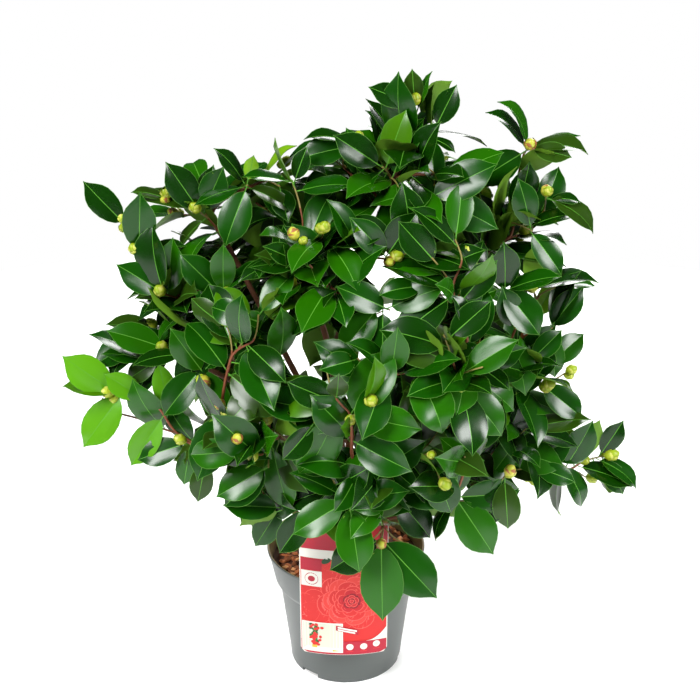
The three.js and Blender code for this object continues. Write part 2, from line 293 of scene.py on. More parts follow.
# %% Bark chips
CHIP_COUNT = 520
CHIP_SIDES = 6
CHIP_RINGS = ((-1.0, 0.5), (-0.15, 1.0), (0.75, 0.62))  # level and girth, in half sizes
CHIP_CORNERS = CHIP_SIDES * len(CHIP_RINGS)
CHIP_LENGTHS, CHIP_WIDTHS, CHIP_HEIGHTS = (3.2, 7.6), (2.6, 4.6), (1.4, 2.8)  # halves, in mm
CHIP_LEAN = 0.38
CHIP_SHARES = (0.32, 0.3, 0.23, 0.15)  # of each brown


def bark_chips():
    """Corners and faces of all the chips, and the brown that each is dealt."""
    angle = random.uniform(0, 2 * math.pi, CHIP_COUNT)
    reach = np.sqrt(random.uniform(0.02, 1, CHIP_COUNT)) * (soil_radius - 7 * MM)
    height = soil_high.z + random.uniform(-2.5, 2.2, CHIP_COUNT) * MM
    centre = np.stack([reach * np.cos(angle), reach * np.sin(angle), height], axis=1)
    half = np.stack([random.uniform(*span, CHIP_COUNT)
                     for span in (CHIP_LENGTHS, CHIP_WIDTHS, CHIP_HEIGHTS)], axis=1) * MM
    rings = []
    for level, share in CHIP_RINGS:
        around = np.arange(CHIP_SIDES) * 2 * math.pi / CHIP_SIDES
        around = around + random.uniform(0, 1, (CHIP_COUNT, 1))
        bulge = share * random.uniform(0.72, 1.2, (CHIP_COUNT, CHIP_SIDES))
        lift = level + random.uniform(-0.25, 0.25, (CHIP_COUNT, CHIP_SIDES))
        rings.append(np.stack([bulge * np.cos(around), bulge * np.sin(around), lift], axis=2))
    local = np.concatenate(rings, axis=1) * half[:, None, :]
    turn = random.uniform(0, 2 * math.pi, CHIP_COUNT)
    lean, roll = random.normal(0, CHIP_LEAN, (2, CHIP_COUNT))
    for first, second, by in ((1, 2, lean), (0, 2, roll), (0, 1, turn)):
        a, b = local[..., first].copy(), local[..., second].copy()
        local[..., first] = a * np.cos(by)[:, None] - b * np.sin(by)[:, None]
        local[..., second] = a * np.sin(by)[:, None] + b * np.cos(by)[:, None]
    pattern = []
    for ring in range(len(CHIP_RINGS) - 1):
        near, far = ring * CHIP_SIDES, (ring + 1) * CHIP_SIDES
        for s in range(CHIP_SIDES):
            n = (s + 1) % CHIP_SIDES
            pattern.append((near + s, near + n, far + n, far + s))
    pattern += [(12, 13, 14, 15), (12, 15, 16, 17), (3, 2, 1, 0), (5, 4, 3, 0)]  # top and underside
    faces = np.array(pattern)[None] + (np.arange(CHIP_COUNT) * CHIP_CORNERS)[:, None, None]
    brown = random.choice(len(CHIP_SHARES), CHIP_COUNT, p=CHIP_SHARES)
    return centre[:, None, :] + local, faces, np.repeat(brown, len(pattern))


chip_corners, chip_faces, chip_brown = bark_chips()
chips = joined_mesh("bark_chips", chip_corners, chip_faces, [
    plain_finish("chip_umber", (128, 70, 36), 0.85),
    plain_finish("chip_red_brown", (176, 100, 56), 0.8),
    plain_finish("chip_brown", (212, 148, 96), 0.8),
    plain_finish("chip_black", (72, 40, 24), 0.9),
], chip_brown)
for face in chips.data.polygons:
    face.use_smooth = False
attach(chips, "root")
print("chips", len(chips.data.polygons), "faces")

# %% [markdown]
# ## The label card
# The card is a thin bent sheet. Its picture is not an image but flat coloured shapes that
# lie on it in layers a few microns apart, as in screen printing: a red bloom of many
# petals, a small white panel with a climbing plant, bands and discs. A print drawn this
# way stays sharp at any distance and carries no words or marks.

# %% Sheet of the card
CARD_THICKNESS = 1.0 * MM
CARD_CORNER = 6 * MM
CARD_ROWS, CARD_COLUMNS = 7, 25
card_low, card_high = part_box("label_card")
card_half = (card_high.x - card_low.x) / 2
card_sag = card_high.y - card_low.y - CARD_THICKNESS
card_bend = (card_half**2 + card_sag**2) / (2 * card_sag)
card_centre = np.array([(card_low.x + card_high.x) / 2, card_low.y + card_bend])
card_width = 2 * card_bend * math.asin(card_half / card_bend)
card_height = card_high.z - card_low.z


def on_card(u, v, lift):
    """A point on the bent card: u across from its middle, v up from its foot, metres."""
    turn = np.asarray(u) / card_bend
    reach = card_bend + lift
    return np.stack([card_centre[0] + reach * np.sin(turn),
                     card_centre[1] - reach * np.cos(turn),
                     card_low.z + np.asarray(v) + 0 * turn], axis=-1)


def grid_faces(rows, columns):
    """Four-cornered faces of a grid of corners, rows by columns."""
    r, c = np.meshgrid(np.arange(rows - 1), np.arange(columns - 1), indexing="ij")
    a = r * columns + c
    return np.stack([a, a + 1, a + columns + 1, a + columns], axis=-1).reshape(-1, 4)


def card_sheet():
    """Front, back and edges of the card, with rounded lower corners."""
    u = np.linspace(-0.5, 0.5, CARD_COLUMNS) * card_width
    from_side = np.minimum(card_width / 2 - np.abs(u), CARD_CORNER)
    foot_v = CARD_CORNER - np.sqrt(np.maximum(CARD_CORNER**2 - (CARD_CORNER - from_side) ** 2, 0))
    share = np.linspace(0, 1, CARD_ROWS)[:, None]
    v = foot_v[None, :] + share * (card_height - foot_v[None, :])
    front = on_card(np.broadcast_to(u, v.shape), v, 0)
    back = on_card(np.broadcast_to(u, v.shape), v, -CARD_THICKNESS)
    corners = np.concatenate([front.reshape(-1, 3), back.reshape(-1, 3)])
    count = CARD_ROWS * CARD_COLUMNS
    front_faces = grid_faces(CARD_ROWS, CARD_COLUMNS)
    index = np.arange(count).reshape(CARD_ROWS, CARD_COLUMNS)
    rim = np.concatenate([index[0], index[1:, -1], index[-1, -2::-1], index[-2:0:-1, 0]])
    after = np.roll(rim, -1)
    edge_faces = np.stack([rim + count, after + count, after, rim], axis=1)
    kind = np.repeat([0, 1], [2 * len(front_faces), len(rim)])
    return corners, np.concatenate([front_faces, front_faces[:, ::-1] + count, edge_faces]), kind


sheet_corners, sheet_faces, sheet_kind = card_sheet()
card = joined_mesh("card_sheet", sheet_corners, sheet_faces, [
    plain_finish("card_white", (212, 210, 202), 0.4),
    plain_finish("card_edge", (214, 120, 126), 0.5),
], sheet_kind)
for face in card.data.polygons:
    face.use_smooth = False
fix_on_root(card, "card", "label_card")

# %% Shapes of the print
PRINT_EDGE = card_width / 2 / MM - 1.2  # the print stops short of the card's sides
PRINT_COLOURS = {
    "crimson": (160, 26, 46), "coral": (188, 36, 34), "coral_dark": (176, 24, 34),
    "coral_deep": (128, 14, 28), "coral_light": (202, 54, 48), "rim_pink": (214, 84, 78),
    "heart": (72, 8, 22), "white": (208, 206, 198), "panel": (186, 188, 172),
    "green": (44, 100, 40), "green_dark": (26, 62, 34), "yellow": (186, 166, 64),
}
print_shapes = []  # (corner grid in u and v, millimetres; colour name)
print(len(PRINT_COLOURS), "printed colours")


def between(colour, u0, u1, low, high, columns=14, rows=3):
    """A shape between two heights, each a number or a function of u."""
    u = np.linspace(u0, u1, columns)
    bottom = np.array([low(x) if callable(low) else low for x in u])
    top = np.array([high(x) if callable(high) else high for x in u])
    share = np.linspace(0, 1, rows)[:, None]
    v = bottom + (top - bottom) * share
    print_shapes.append((np.stack([np.broadcast_to(u, v.shape), v], axis=-1), colour))


def disc(colour, u, v, radius_u, radius_v=None, turn=0.0, corners=18, pinch=0.0):
    """A filled oval round a place on the card. Pinch draws its inner end to a point."""
    angle = -np.linspace(0, 2 * math.pi, corners + 1)
    across = radius_u * np.sin(angle)
    along = (radius_v or radius_u) * np.cos(angle)
    across = across * (1 - pinch * (1 - np.cos(angle)) / 2)
    shares = np.array([1.0, 0.5, 0.02])[:, None]
    a, b = across * shares, along * shares
    grid_u = np.clip(u + a * math.cos(turn) - b * math.sin(turn), -PRINT_EDGE, PRINT_EDGE)
    grid_v = v + a * math.sin(turn) + b * math.cos(turn)
    print_shapes.append((np.stack([grid_u, grid_v], axis=-1), colour))


# %% Petals and a bloom
PETAL_PINCH = 0.35
RING_TURN = 0.66
OUTER_RINGS = (  # reach, petals, width, length in millimetres, and colour
    (31, 7, 17, 15, "coral"), (25, 7, 15, 13, "coral_light"), (20, 6, 13, 11, "coral"),
    (15, 6, 10.5, 9, "coral"), (12, 5, 8, 6.5, "coral_dark"))
INNER_RINGS = (  # reach, petals, width in millimetres, colour and rim
    (7.4, 5, 5.6, "coral_deep", "coral_dark"), (5, 5, 4.6, "coral_dark", "rim_pink"),
    (2.8, 4, 3.4, "coral_deep", "rim_pink"), (1, 3, 2.2, "coral_dark", "rim_pink"))


def petal(u, v, reach, turn, width, length, body, rim="rim_pink", line=0.5):
    """One petal of a bloom at (u, v): a pale rim with the petal's body a little inside."""
    cu, cv = u - reach * math.sin(turn), v + reach * math.cos(turn)
    disc(rim, cu, cv, width, length, turn, pinch=PETAL_PINCH)
    disc(body, cu + line * 0.8 * math.sin(turn), cv - line * 0.8 * math.cos(turn),
         width - line, length - line, turn, pinch=PETAL_PINCH)


def draw_bloom(u, v):
    """A full bloom: rings of petals from the outside in, round a dark heart."""
    for order, (reach, count, width, length, body) in enumerate(OUTER_RINGS):
        for k in range(count):
            turn = 2 * math.pi * k / count + RING_TURN * order
            petal(u, v, reach - length * 0.35, turn, width, length, body)
    disc("heart", u, v, 10.5, 9.5)
    for reach, count, width, body, rim in INNER_RINGS:
        for k in range(count):
            petal(u, v, reach, 2 * math.pi * k / count + reach, width, width * 0.74, body, rim)


print("a bloom of", sum(ring[1] for ring in OUTER_RINGS + INNER_RINGS), "petals")


# %% The whole print
def draw_card():
    """The print from the ground up, in millimetres from the card's foot and middle."""
    height = card_height / MM
    half = PRINT_EDGE
    between("coral", -half, half, 5, 130, rows=9)
    # soft blooms that run off the card's sides
    for u, v, reach, width in ((-34, 64, 9, 15), (-24, 122, 10, 13), (40, 122, 10, 13)):
        for turn in np.linspace(0, 2 * math.pi, 6)[:-1]:
            petal(u, v, reach, turn + u, width, width, "coral", line=0.35)
    draw_bloom(9, 74)
    disc("green_dark", -20, 127, 6, 3.4, 0.5)
    # a plain square mark: a crimson bar over a white field with a ring in it
    between("crimson", -half + 1, -25, 113.5, 128.5)
    between("white", -half + 1, -25, 92, 112.5)
    disc("crimson", -37, 102, 8, 8)
    disc("white", -37, 102, 7.1, 7.1)
    disc("crimson", -37, 102, 4.2, 3.8)
    # bands at the head
    between("white", -half, half, 129.5, 141)
    between("crimson", -half, half, 141, height - 1.2, rows=5)
    for turn in np.linspace(-1.4, 1.4, 5):
        petal(-18, 152, 12, turn, 9, 11, "crimson", "coral_dark", 0.35)
        petal(18, 158, 12, turn, 11, 12, "coral_dark", "crimson", 0.35)
    between("white", -half, -half + 9, lambda x: height - 14 + (x + half) * 1.4, height - 1.2)
    # band at the foot with its discs, and the white sweep over it
    between("crimson", -half, half, lambda x: 1 + max(0, abs(x) - half + 4) * 0.8, 19)
    between("white", 26, half, 19, lambda x: 19.2 + (x - 26) ** 2 * 0.028)
    for u, v in ((7, 11.5), (23, 11.5), (38, 13.5)):
        disc("white", u, v, 4.2, 4.2)
        disc("panel", u, v, 1.6, 1.6)
        between("coral_light", u - 4, u + 4, v - 6.6, v - 6, columns=5, rows=2)
    # panel with a climbing plant in a small pot, before a pale wall and a white sill
    between("white", -half + 1, -1, 3.4, 44)
    between("panel", -half + 2.2, -2.2, 10, 42.8)
    between("panel", -half + 2.2, -half + 7, lambda x: 5.6 + 0.9 * (x + half - 2.2), 10.2)
    between("yellow", -13, -3.4, lambda x: 5 + 0.1 * (x + 13), lambda x: 7.4 - 0.16 * (x + 13))
    plant = np.random.default_rng(11)
    for k in range(30):
        colour = "green_dark" if k % 2 else "green"
        disc(colour, -34 + plant.normal() * 2.6, 13 + k * 0.95, 2.4, 1.3,
             plant.uniform(0, 3), corners=8)
    for k in range(26):
        cluster = (16, 22, 27, 38)[k % 4]
        disc("coral", -34 + plant.normal() * 3.4, cluster + plant.normal() * 1.6, 2.2, 1.8,
             plant.uniform(0, 3), corners=9)
    between("yellow", -37, -31, 9, 12.5)
    # a plain slanted ribbon over the bloom
    between("crimson", -9, 16.5, lambda x: 32.4 - 0.25 * x, lambda x: 39.2 - 0.25 * x)
    between("white", -7, 15, lambda x: 36 - 0.25 * x, lambda x: 38.2 - 0.25 * x)
    between("white", -7, 13, lambda x: 33 - 0.25 * x, lambda x: 35 - 0.25 * x)


draw_card()
print(len(print_shapes), "printed shapes")

# %% Lay the shapes on the card
FIRST_LAYER, LAYER = 0.05 * MM, 0.004 * MM
LEAST_SPAN = 0.01  # millimetres; what was pressed flat at the card's edge is left out
names = list(PRINT_COLOURS)
print_corners, print_faces, print_kind, print_base = [], [], [], 0
for layer, (grid, colour) in enumerate(print_shapes):
    rows, columns = grid.shape[:2]
    corners = on_card(grid[..., 0] * MM, grid[..., 1] * MM, FIRST_LAYER + layer * LAYER)
    faces = grid_faces(rows, columns)
    spans = np.ptp(grid.reshape(-1, 2)[faces], axis=1).min(axis=1)
    faces = faces[spans > LEAST_SPAN]
    print_corners.append(corners.reshape(-1, 3))
    print_faces.append(faces + print_base)
    print_kind.append(np.full(len(faces), names.index(colour)))
    print_base += rows * columns
card_print = joined_mesh("card_print", np.concatenate(print_corners), np.concatenate(print_faces),
                         [plain_finish("print_" + n, PRINT_COLOURS[n], 0.42, 0.3) for n in names],
                         np.concatenate(print_kind))
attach(card_print, "root")
print("card print", len(card_print.data.polygons), "faces")

# %% [markdown]
# ## Reading the limbs
# A limb in the frame is a bent, tapering stick. Its middle line is found again by
# spreading points over its skin, lining them up along its longest direction and
# taking the middle of each slice. The end nearer the stem's foot is the limb's foot.

# %% Middle line and thickness of each limb
LIMB_SLICES = 9
SKIN_POINTS = 4000
SKIN_GAIN = 1.06  # a limb's ridges stand out past the mean distance of its skin


def skin_points(node, count):
    """Points spread evenly over a node's skin."""
    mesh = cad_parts[node].data
    mesh.calc_loop_triangles()
    places = np.array([v.co for v in mesh.vertices])
    corners = places[np.array([t.vertices for t in mesh.loop_triangles])]
    first, second = corners[:, 1] - corners[:, 0], corners[:, 2] - corners[:, 0]
    areas = np.linalg.norm(np.cross(first, second), axis=1)
    spread = np.random.default_rng(3)
    picks = spread.choice(len(areas), count, p=areas / areas.sum())
    u, v = spread.random((2, count, 1))
    over = u + v > 1
    u, v = np.where(over, 1 - u, u), np.where(over, 1 - v, v)
    return corners[picks, 0] + u * first[picks] + v * second[picks]


def middle_line(node):
    """Points along the middle of a limb, from its foot to its tip, and its radius there."""
    points = skin_points(node, SKIN_POINTS)
    centre = points.mean(axis=0)
    longest = np.linalg.svd(points - centre, full_matrices=False)[2][0]
    along = (points - centre) @ longest
    low, high = along.min(), along.max()
    edges = np.linspace(low, high, LIMB_SLICES + 1)
    line, radius = [], []
    for k in range(LIMB_SLICES):
        inside = points[(along >= edges[k]) & (along <= edges[k + 1])]
        middle = inside.mean(axis=0)
        off = inside - middle
        off -= np.outer(off @ longest, longest)
        line.append(middle)
        radius.append(np.linalg.norm(off, axis=1).mean() * SKIN_GAIN)
    line = np.array(line)
    # the slices' middles stop half a slice short of both ends
    line = np.vstack([line[0] * 1.5 - line[1] * 0.5, line, line[-1] * 1.5 - line[-2] * 0.5])
    radius = np.array([radius[0]] + radius + [radius[-1]])
    foot = np.array([0, 0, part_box("stem")[0].z])
    if np.linalg.norm(line[0] - foot) > np.linalg.norm(line[-1] - foot):
        line, radius = line[::-1], radius[::-1]
    return line, radius


limbs = {node: middle_line(node) for node in LIMB_NODES}
for node in ("stem", "bough_centre_lower", "bough_left_upper"):
    print(node, "radius in mm", (limbs[node][1] / MM).round(1))

# %% [markdown]
# ## Shoots that draw the outline
# A shrub is known by its outline, and single leaves draw it: the pair that arches over
# the top right, the pale spray low on the left, the large leaves that hang over the
# pot. These shoots are listed as shares of the crown's box. Every leaf has the
# direction that its tip takes, its size, its bend in degrees, the side that its face is
# turned to and its green. The wood has to reach these shoots as it reaches all others.

# %% Shoots listed one by one
FACES = {"front": (0, -0.85, 0.5), "up": (0, -0.3, 0.95), "back": (0, 0.75, 0.45),
         "side": (-0.9, -0.2, 0.3)}
DEEP, DARK, MID, MOSS, LIGHT, SPRING, YOUNG = range(7)
OUTLINE_SHOOTS = [
    # over the pot's rim
    ((0.55, 0.11, 0.34), [((0.02, -0.2, -1), 1.3, 12, "front", MID),
        ((0.66, -0.1, -0.75), 1.3, 20, "front", DARK),
        ((-0.7, 0.15, -0.6), 1.05, 18, "front", DEEP)]),
    ((0.5, 0.09, 0.41), [((0.15, -0.3, -1), 1.05, 18, "front", MID),
        ((-0.8, -0.1, -0.5), 0.95, 30, "front", MID),
        ((0.95, -0.1, 0.2), 0.95, 30, "front", DARK),
        ((0.95, 0.1, -0.15), 0.95, 25, "front", MOSS), ((-0.85, 0.1, 0.35), 0.85, 30, "up", DARK),
        ((0.45, 0, 0.85), 0.8, 25, "front", MID)]),
    ((0.573, 0.205, 0.39), [((0.9, 0, -0.4), 1.15, 25, "back", MOSS),
        ((0.6, 0, -0.8), 0.95, 25, "front", DEEP), ((0.95, -0.1, 0.15), 0.95, 30, "up", DARK),
        ((-0.9, 0, -0.3), 0.9, 30, "up", DARK)]),
    ((0.44, 0.16, 0.38), [((-0.55, -0.1, -0.8), 0.9, 22, "front", DEEP),
        ((0.75, -0.1, -0.65), 0.95, 24, "front", LIGHT)]),
    # right skirt
    ((0.67, 0.18, 0.39), [((0.55, -0.1, -0.85), 1.12, 20, "front", MID),
        ((-0.3, 0, -0.9), 0.8, 50, "side", DEEP)]),
    ((0.75, 0.2, 0.42), [((0.1, -0.1, -1), 0.85, 40, "front", MOSS),
        ((-0.3, -0.1, -0.95), 0.8, 30, "front", DEEP)]),
    # low bough on the right
    ((0.93, 0.37, 0.4), [((0.5, -0.1, -0.85), 0.72, 30, "front", DARK),
        ((0.45, 0, 0.85), 0.7, 20, "front", DEEP), ((0.75, -0.1, -0.6), 0.85, 50, "up", DARK),
        ((0.6, 0.2, -0.8), 0.85, 60, "side", DEEP)]),
    ((0.89, 0.36, 0.39), [((0.35, 0, 0.95), 0.8, 20, "back", LIGHT),
        ((0.9, -0.1, -0.35), 0.95, 30, "up", DEEP), ((-0.3, 0, 0.9), 0.75, 20, "back", LIGHT)]),
    ((0.864, 0.33, 0.39), [((0.4, 0, 0.9), 0.9, 20, "front", DARK),
        ((0.05, 0, -1), 0.9, 50, "side", MOSS), ((0.4, 0, -0.9), 0.85, 55, "up", DARK),
        ((-0.8, 0, -0.4), 0.6, 30, "front", MID)]),
    # right side, from below
    ((0.79, 0.3, 0.47), [((0.97, -0.1, 0.2), 1.0, 25, "up", MOSS),
        ((0.9, 0, -0.3), 0.9, 30, "up", DEEP), ((-0.5, 0, -0.85), 0.8, 30, "front", MID)]),
    ((0.81, 0.32, 0.54), [((0.75, -0.1, -0.6), 0.85, 30, "front", DARK),
        ((-0.8, 0, -0.5), 0.9, 30, "front", DARK), ((0.4, 0, 0.8), 0.6, 30, "front", DEEP)]),
    ((0.83, 0.37, 0.62), [((0.4, 0, 0.95), 1.0, 25, "side", DEEP),
        ((0.55, -0.1, 0.85), 0.85, 30, "front", DARK), ((0.2, 0, -0.9), 0.8, 30, "front", MID)]),
    ((0.79, 0.37, 0.68), [((0.97, 0, 0.1), 1.05, 45, "up", DEEP),
        ((0.1, 0.1, 1), 0.7, 25, "back", LIGHT), ((-0.75, 0, 0.4), 0.8, 30, "up", MOSS)]),
    ((0.762, 0.297, 0.634), [((-0.3, -0.1, 0.95), 0.75, 25, "front", DARK),
        ((0.2, -0.2, -0.9), 0.95, 25, "front", MID), ((-0.9, -0.1, 0.3), 0.85, 35, "up", DARK)]),
    ((0.735, 0.297, 0.705), [((0.6, -0.1, -0.75), 0.95, 25, "front", DARK),
        ((-0.8, -0.1, -0.3), 0.9, 30, "front", MID), ((0.85, -0.1, 0.25), 0.85, 30, "up", DARK),
        ((-0.1, -0.2, 1), 0.85, 25, "front", DEEP)]),
    # top right, with its arching pair
    ((0.78, 0.44, 0.888), [((0.8, -0.1, -0.15), 0.62, 30, "front", MOSS),
        ((-0.6, 0, 0.8), 0.88, 70, "up", MID), ((-0.75, 0, 0.6), 0.86, 60, "up", DARK),
        ((0.95, 0, -0.1), 0.95, 60, "up", MOSS), ((-0.8, -0.1, -0.5), 0.92, 25, "front", DARK)]),
    ((0.81, 0.41, 0.82), [((0.75, 0, -0.6), 0.95, 55, "up", MOSS),
        ((0.9, 0.1, -0.15), 0.5, 40, "up", DEEP)]),
    ((0.79, 0.39, 0.77), [((-0.3, -0.1, 0.95), 0.85, 20, "front", DARK),
        ((0.6, -0.1, -0.8), 0.85, 25, "front", DARK), ((0.9, 0, 0.2), 0.8, 40, "up", DEEP)]),
    # crest
    ((0.632, 0.41, 0.92), [((0.42, 0, 0.9), 0.68, 15, "front", DEEP),
        ((0.05, 0.1, 1), 0.66, 20, "side", MOSS), ((0.1, -0.4, -0.9), 0.75, 30, "up", DARK),
        ((0.8, 0, -0.5), 0.45, 40, "up", DEEP)]),
    ((0.6, 0.42, 0.952), [((-0.7, 0, 0.3), 0.7, 20, "front", DEEP),
        ((-0.1, 0, 1), 0.55, 20, "front", MOSS), ((0.35, 0, 0.95), 0.6, 20, "side", MID),
        ((0.65, 0.2, 0.6), 0.7, 30, "back", LIGHT), ((-0.6, 0, -0.5), 0.75, 30, "up", MID),
        ((-0.5, 0.1, 0.5), 0.6, 30, "back", LIGHT)]),
    ((0.51, 0.41, 0.9), [((-0.95, 0, 0.05), 0.75, 50, "up", DEEP),
        ((-0.97, 0, -0.25), 0.8, 30, "front", DARK)]),
    ((0.55, 0.37, 0.87), [((-0.8, -0.1, 0.55), 0.85, 20, "front", DEEP),
        ((-0.6, 0, -0.7), 0.85, 30, "up", DARK), ((0.3, 0, 0.9), 0.9, 20, "front", LIGHT)]),
    ((0.62, 0.32, 0.83), [((0.9, -0.1, 0.5), 1.1, 20, "front", DARK),
        ((0.85, -0.1, -0.4), 1.1, 25, "front", DARK), ((-0.85, 0, -0.2), 0.9, 30, "up", MID)]),
    # upper left
    ((0.26, 0.44, 0.79), [((-0.5, -0.1, 0.85), 0.92, 15, "front", DEEP),
        ((0.4, -0.1, 0.85), 0.82, 15, "front", DARK), ((0.2, 0.2, 0.95), 0.75, 20, "front", DEEP),
        ((-0.6, 0, -0.75), 0.6, 35, "up", MOSS)]),
    ((0.21, 0.46, 0.808), [((-0.95, 0, 0.15), 0.55, 40, "up", MOSS)]),
    ((0.34, 0.39, 0.84), [((-0.35, -0.2, -0.9), 0.95, 25, "front", DARK),
        ((0.25, -0.1, 0.97), 0.42, 10, "front", YOUNG), ((-0.6, 0, 0.7), 0.7, 40, "up", DEEP),
        ((0.8, 0, -0.5), 0.8, 30, "up", MOSS), ((-0.8, -0.1, -0.3), 0.8, 30, "up", DARK)]),
    ((0.41, 0.37, 0.85), [((-0.95, -0.1, 0.1), 0.7, 25, "up", DARK),
        ((0.3, 0, 0.8), 0.55, 20, "front", DEEP), ((-0.35, 0, 0.95), 0.75, 15, "side", LIGHT),
        ((0.85, -0.1, 0.1), 0.85, 30, "up", DARK)]),
    # far upper left
    ((0.14, 0.44, 0.77), [((-0.65, 0, 0.75), 0.9, 15, "front", DEEP)]),
    ((0.16, 0.41, 0.73), [((0.1, -0.1, 1), 1.0, 15, "front", DARK),
        ((0.9, 0, 0.2), 0.7, 30, "up", DEEP)]),
    ((0.2, 0.39, 0.67), [((-0.75, -0.1, 0.55), 0.85, 25, "front", DARK),
        ((0.15, -0.1, 0.97), 0.95, 15, "front", MID), ((-0.9, 0, -0.1), 0.5, 40, "up", MOSS)]),
    ((0.3, 0.34, 0.68), [((0.05, -0.1, 1), 0.8, 20, "front", MID),
        ((-0.65, -0.1, 0.75), 0.85, 15, "front", DARK), ((0.8, 0, 0.5), 0.85, 30, "up", DARK)]),
    ((0.26, 0.32, 0.63), [((-0.7, -0.1, 0.7), 1.0, 20, "side", YOUNG),
        ((0.7, -0.1, 0.6), 0.7, 40, "up", MOSS), ((-0.2, -0.1, -0.97), 1.0, 20, "front", DEEP)]),
    # middle left
    ((0.17, 0.39, 0.56), [((-0.9, 0, 0.4), 1.05, 30, "up", DARK),
        ((-0.97, -0.1, 0.15), 0.8, 25, "up", DARK),
        ((0.2, -0.2, -0.95), 0.75, 25, "front", SPRING),
        ((-0.7, 0.1, -0.5), 0.65, 25, "front", MOSS)]),
    ((0.2, 0.37, 0.586), [((-0.93, 0, 0.3), 0.95, 25, "front", MID)]),
    ((0.24, 0.32, 0.59), [((-0.95, -0.1, -0.2), 0.85, 35, "up", DEEP)]),
    # low spray on the left
    ((0.11, 0.37, 0.51), [((-0.78, 0, 0.62), 1.0, 15, "front", SPRING),
        ((-0.98, 0, 0.12), 0.88, 25, "up", LIGHT),
        ((-0.6, -0.1, -0.8), 1.12, 20, "front", SPRING)]),
    ((0.16, 0.37, 0.5), [((-0.8, 0, 0.55), 0.75, 20, "front", SPRING)]),
    ((0.19, 0.35, 0.48), [((-0.55, -0.1, -0.83), 1.0, 20, "front", SPRING)]),
    ((0.266, 0.297, 0.561), [((-0.5, -0.1, 0.85), 0.9, 25, "front", MID),
        ((0.7, -0.1, 0.6), 0.85, 30, "up", DARK), ((-0.6, -0.1, -0.75), 0.95, 25, "front", DARK),
        ((0.4, -0.2, -0.9), 0.95, 22, "front", MID)]),
    # middle of the front
    ((0.562, 0.228, 0.681), [((-0.8, -0.1, 0.4), 0.85, 30, "front", DARK),
        ((0.8, -0.1, 0.35), 0.9, 30, "front", MID), ((0, -0.3, -1), 0.95, 25, "front", DARK),
        ((-0.6, -0.2, -0.7), 0.9, 25, "front", MID)]),
    ((0.56, 0.27, 0.75), [((-0.6, -0.1, 0.7), 0.85, 30, "front", DARK),
        ((0.5, -0.1, 0.8), 0.85, 25, "front", DEEP), ((0.9, -0.2, -0.2), 0.9, 30, "up", MID)]),
    ((0.561, 0.135, 0.603), [((0.1, -0.2, 1), 0.8, 25, "front", MID),
        ((-0.75, -0.2, 0.6), 0.9, 35, "up", DARK), ((0.85, -0.2, 0.3), 0.95, 30, "up", DARK),
        ((0.1, -0.3, -0.9), 0.95, 25, "front", DEEP)]),
    # lower left edge
    ((0.23, 0.32, 0.44), [((-0.93, 0, -0.35), 0.85, 25, "front", DARK),
        ((-0.2, 0, -0.97), 0.7, 20, "front", MID)]),
    ((0.26, 0.3, 0.42), [((-0.2, -0.1, -0.97), 0.75, 30, "front", MOSS)]),
    ((0.3, 0.2, 0.53), [((-0.35, -0.2, -0.92), 1.15, 15, "front", DARK),
        ((0.7, -0.1, -0.7), 1.0, 20, "front", DARK)]),
    ((0.37, 0.18, 0.44), [((-0.85, -0.1, -0.5), 0.9, 25, "front", MID),
        ((-0.7, -0.1, -0.7), 0.95, 25, "front", DARK)]),
    ((0.39, 0.2, 0.36), [((-0.9, 0, -0.4), 0.7, 25, "back", MOSS),
        ((-0.85, -0.1, 0.1), 0.9, 30, "front", DARK), ((0.6, -0.1, 0.3), 0.8, 30, "front", DEEP),
        ((-0.5, 0, -0.87), 0.85, 25, "front", DARK)]),
]
crown_low, crown_size = np.array(cad_low), np.array(cad_high - cad_low)
hand_places = np.array([crown_low + np.array(place) * crown_size for place, _ in OUTLINE_SHOOTS])
hand_leaves = sum(len(leaves) for _, leaves in OUTLINE_SHOOTS)
print(len(OUTLINE_SHOOTS), "shoots by hand with", hand_leaves, "leaves")

# %% [markdown]
# ## Where the shoots end
# A camellia carries its leaves on short shoots that end near the outside of the
# crown. In every mass some places are chosen for shoot tips: dense near the skin of the
# mass, none too close to another, and none inside the pot. They are the goals that the
# twigs grow towards.

# %% Shoot tips in every mass
TIP_SPACING, BACK_SPACING = 29 * MM, 25 * MM
BACK_FROM = 40 * MM  # masses whose middle lies further back than this are at the back
TIP_TRIES = 260
LEAF_ROOM = 20 * MM  # between a tip and the skin of its mass
LOWEST_TIP = 15 * MM  # above the pot's rim
# masses that the listed shoots fill in front, so no others grow there
OPEN_NODES = {"leaves_front_rim", "leaves_left_low_tip", "leaves_left_tip_high",
              "leaves_right_low_tip", "leaves_right_tip_high"}
mass_boxes = [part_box(n) for n in LEAF_NODES]
mass_centre = np.array([(low + high) / 2 for low, high in mass_boxes])
mass_half = np.array([(high - low) / 2 for low, high in mass_boxes])
crown_middle = np.array([0.012, 0.01, 0.38])
crown_half = np.array([0.33, 0.22, 0.34])


def over_pot(points):
    """True for points inside the pot or its soil."""
    points = np.atleast_2d(points)
    near = np.hypot(points[:, 0], points[:, 1]) < pot_radius + 2 * MM
    return near & (points[:, 2] < pot_high.z)


def unit(vectors):
    """The same directions with length one."""
    return vectors / np.maximum(np.linalg.norm(vectors, axis=-1, keepdims=True), 1e-9)


def home_of(place):
    """The mass that holds this place best."""
    return np.linalg.norm((place - mass_centre) / mass_half, axis=1).argmin()


def crown_share(points, margin):
    """How far out each point lies in the mass that holds it best; 1 is that mass's skin."""
    off = (points[..., None, :] - mass_centre) / (mass_half + margin)
    return np.linalg.norm(off, axis=-1).min(axis=-1)


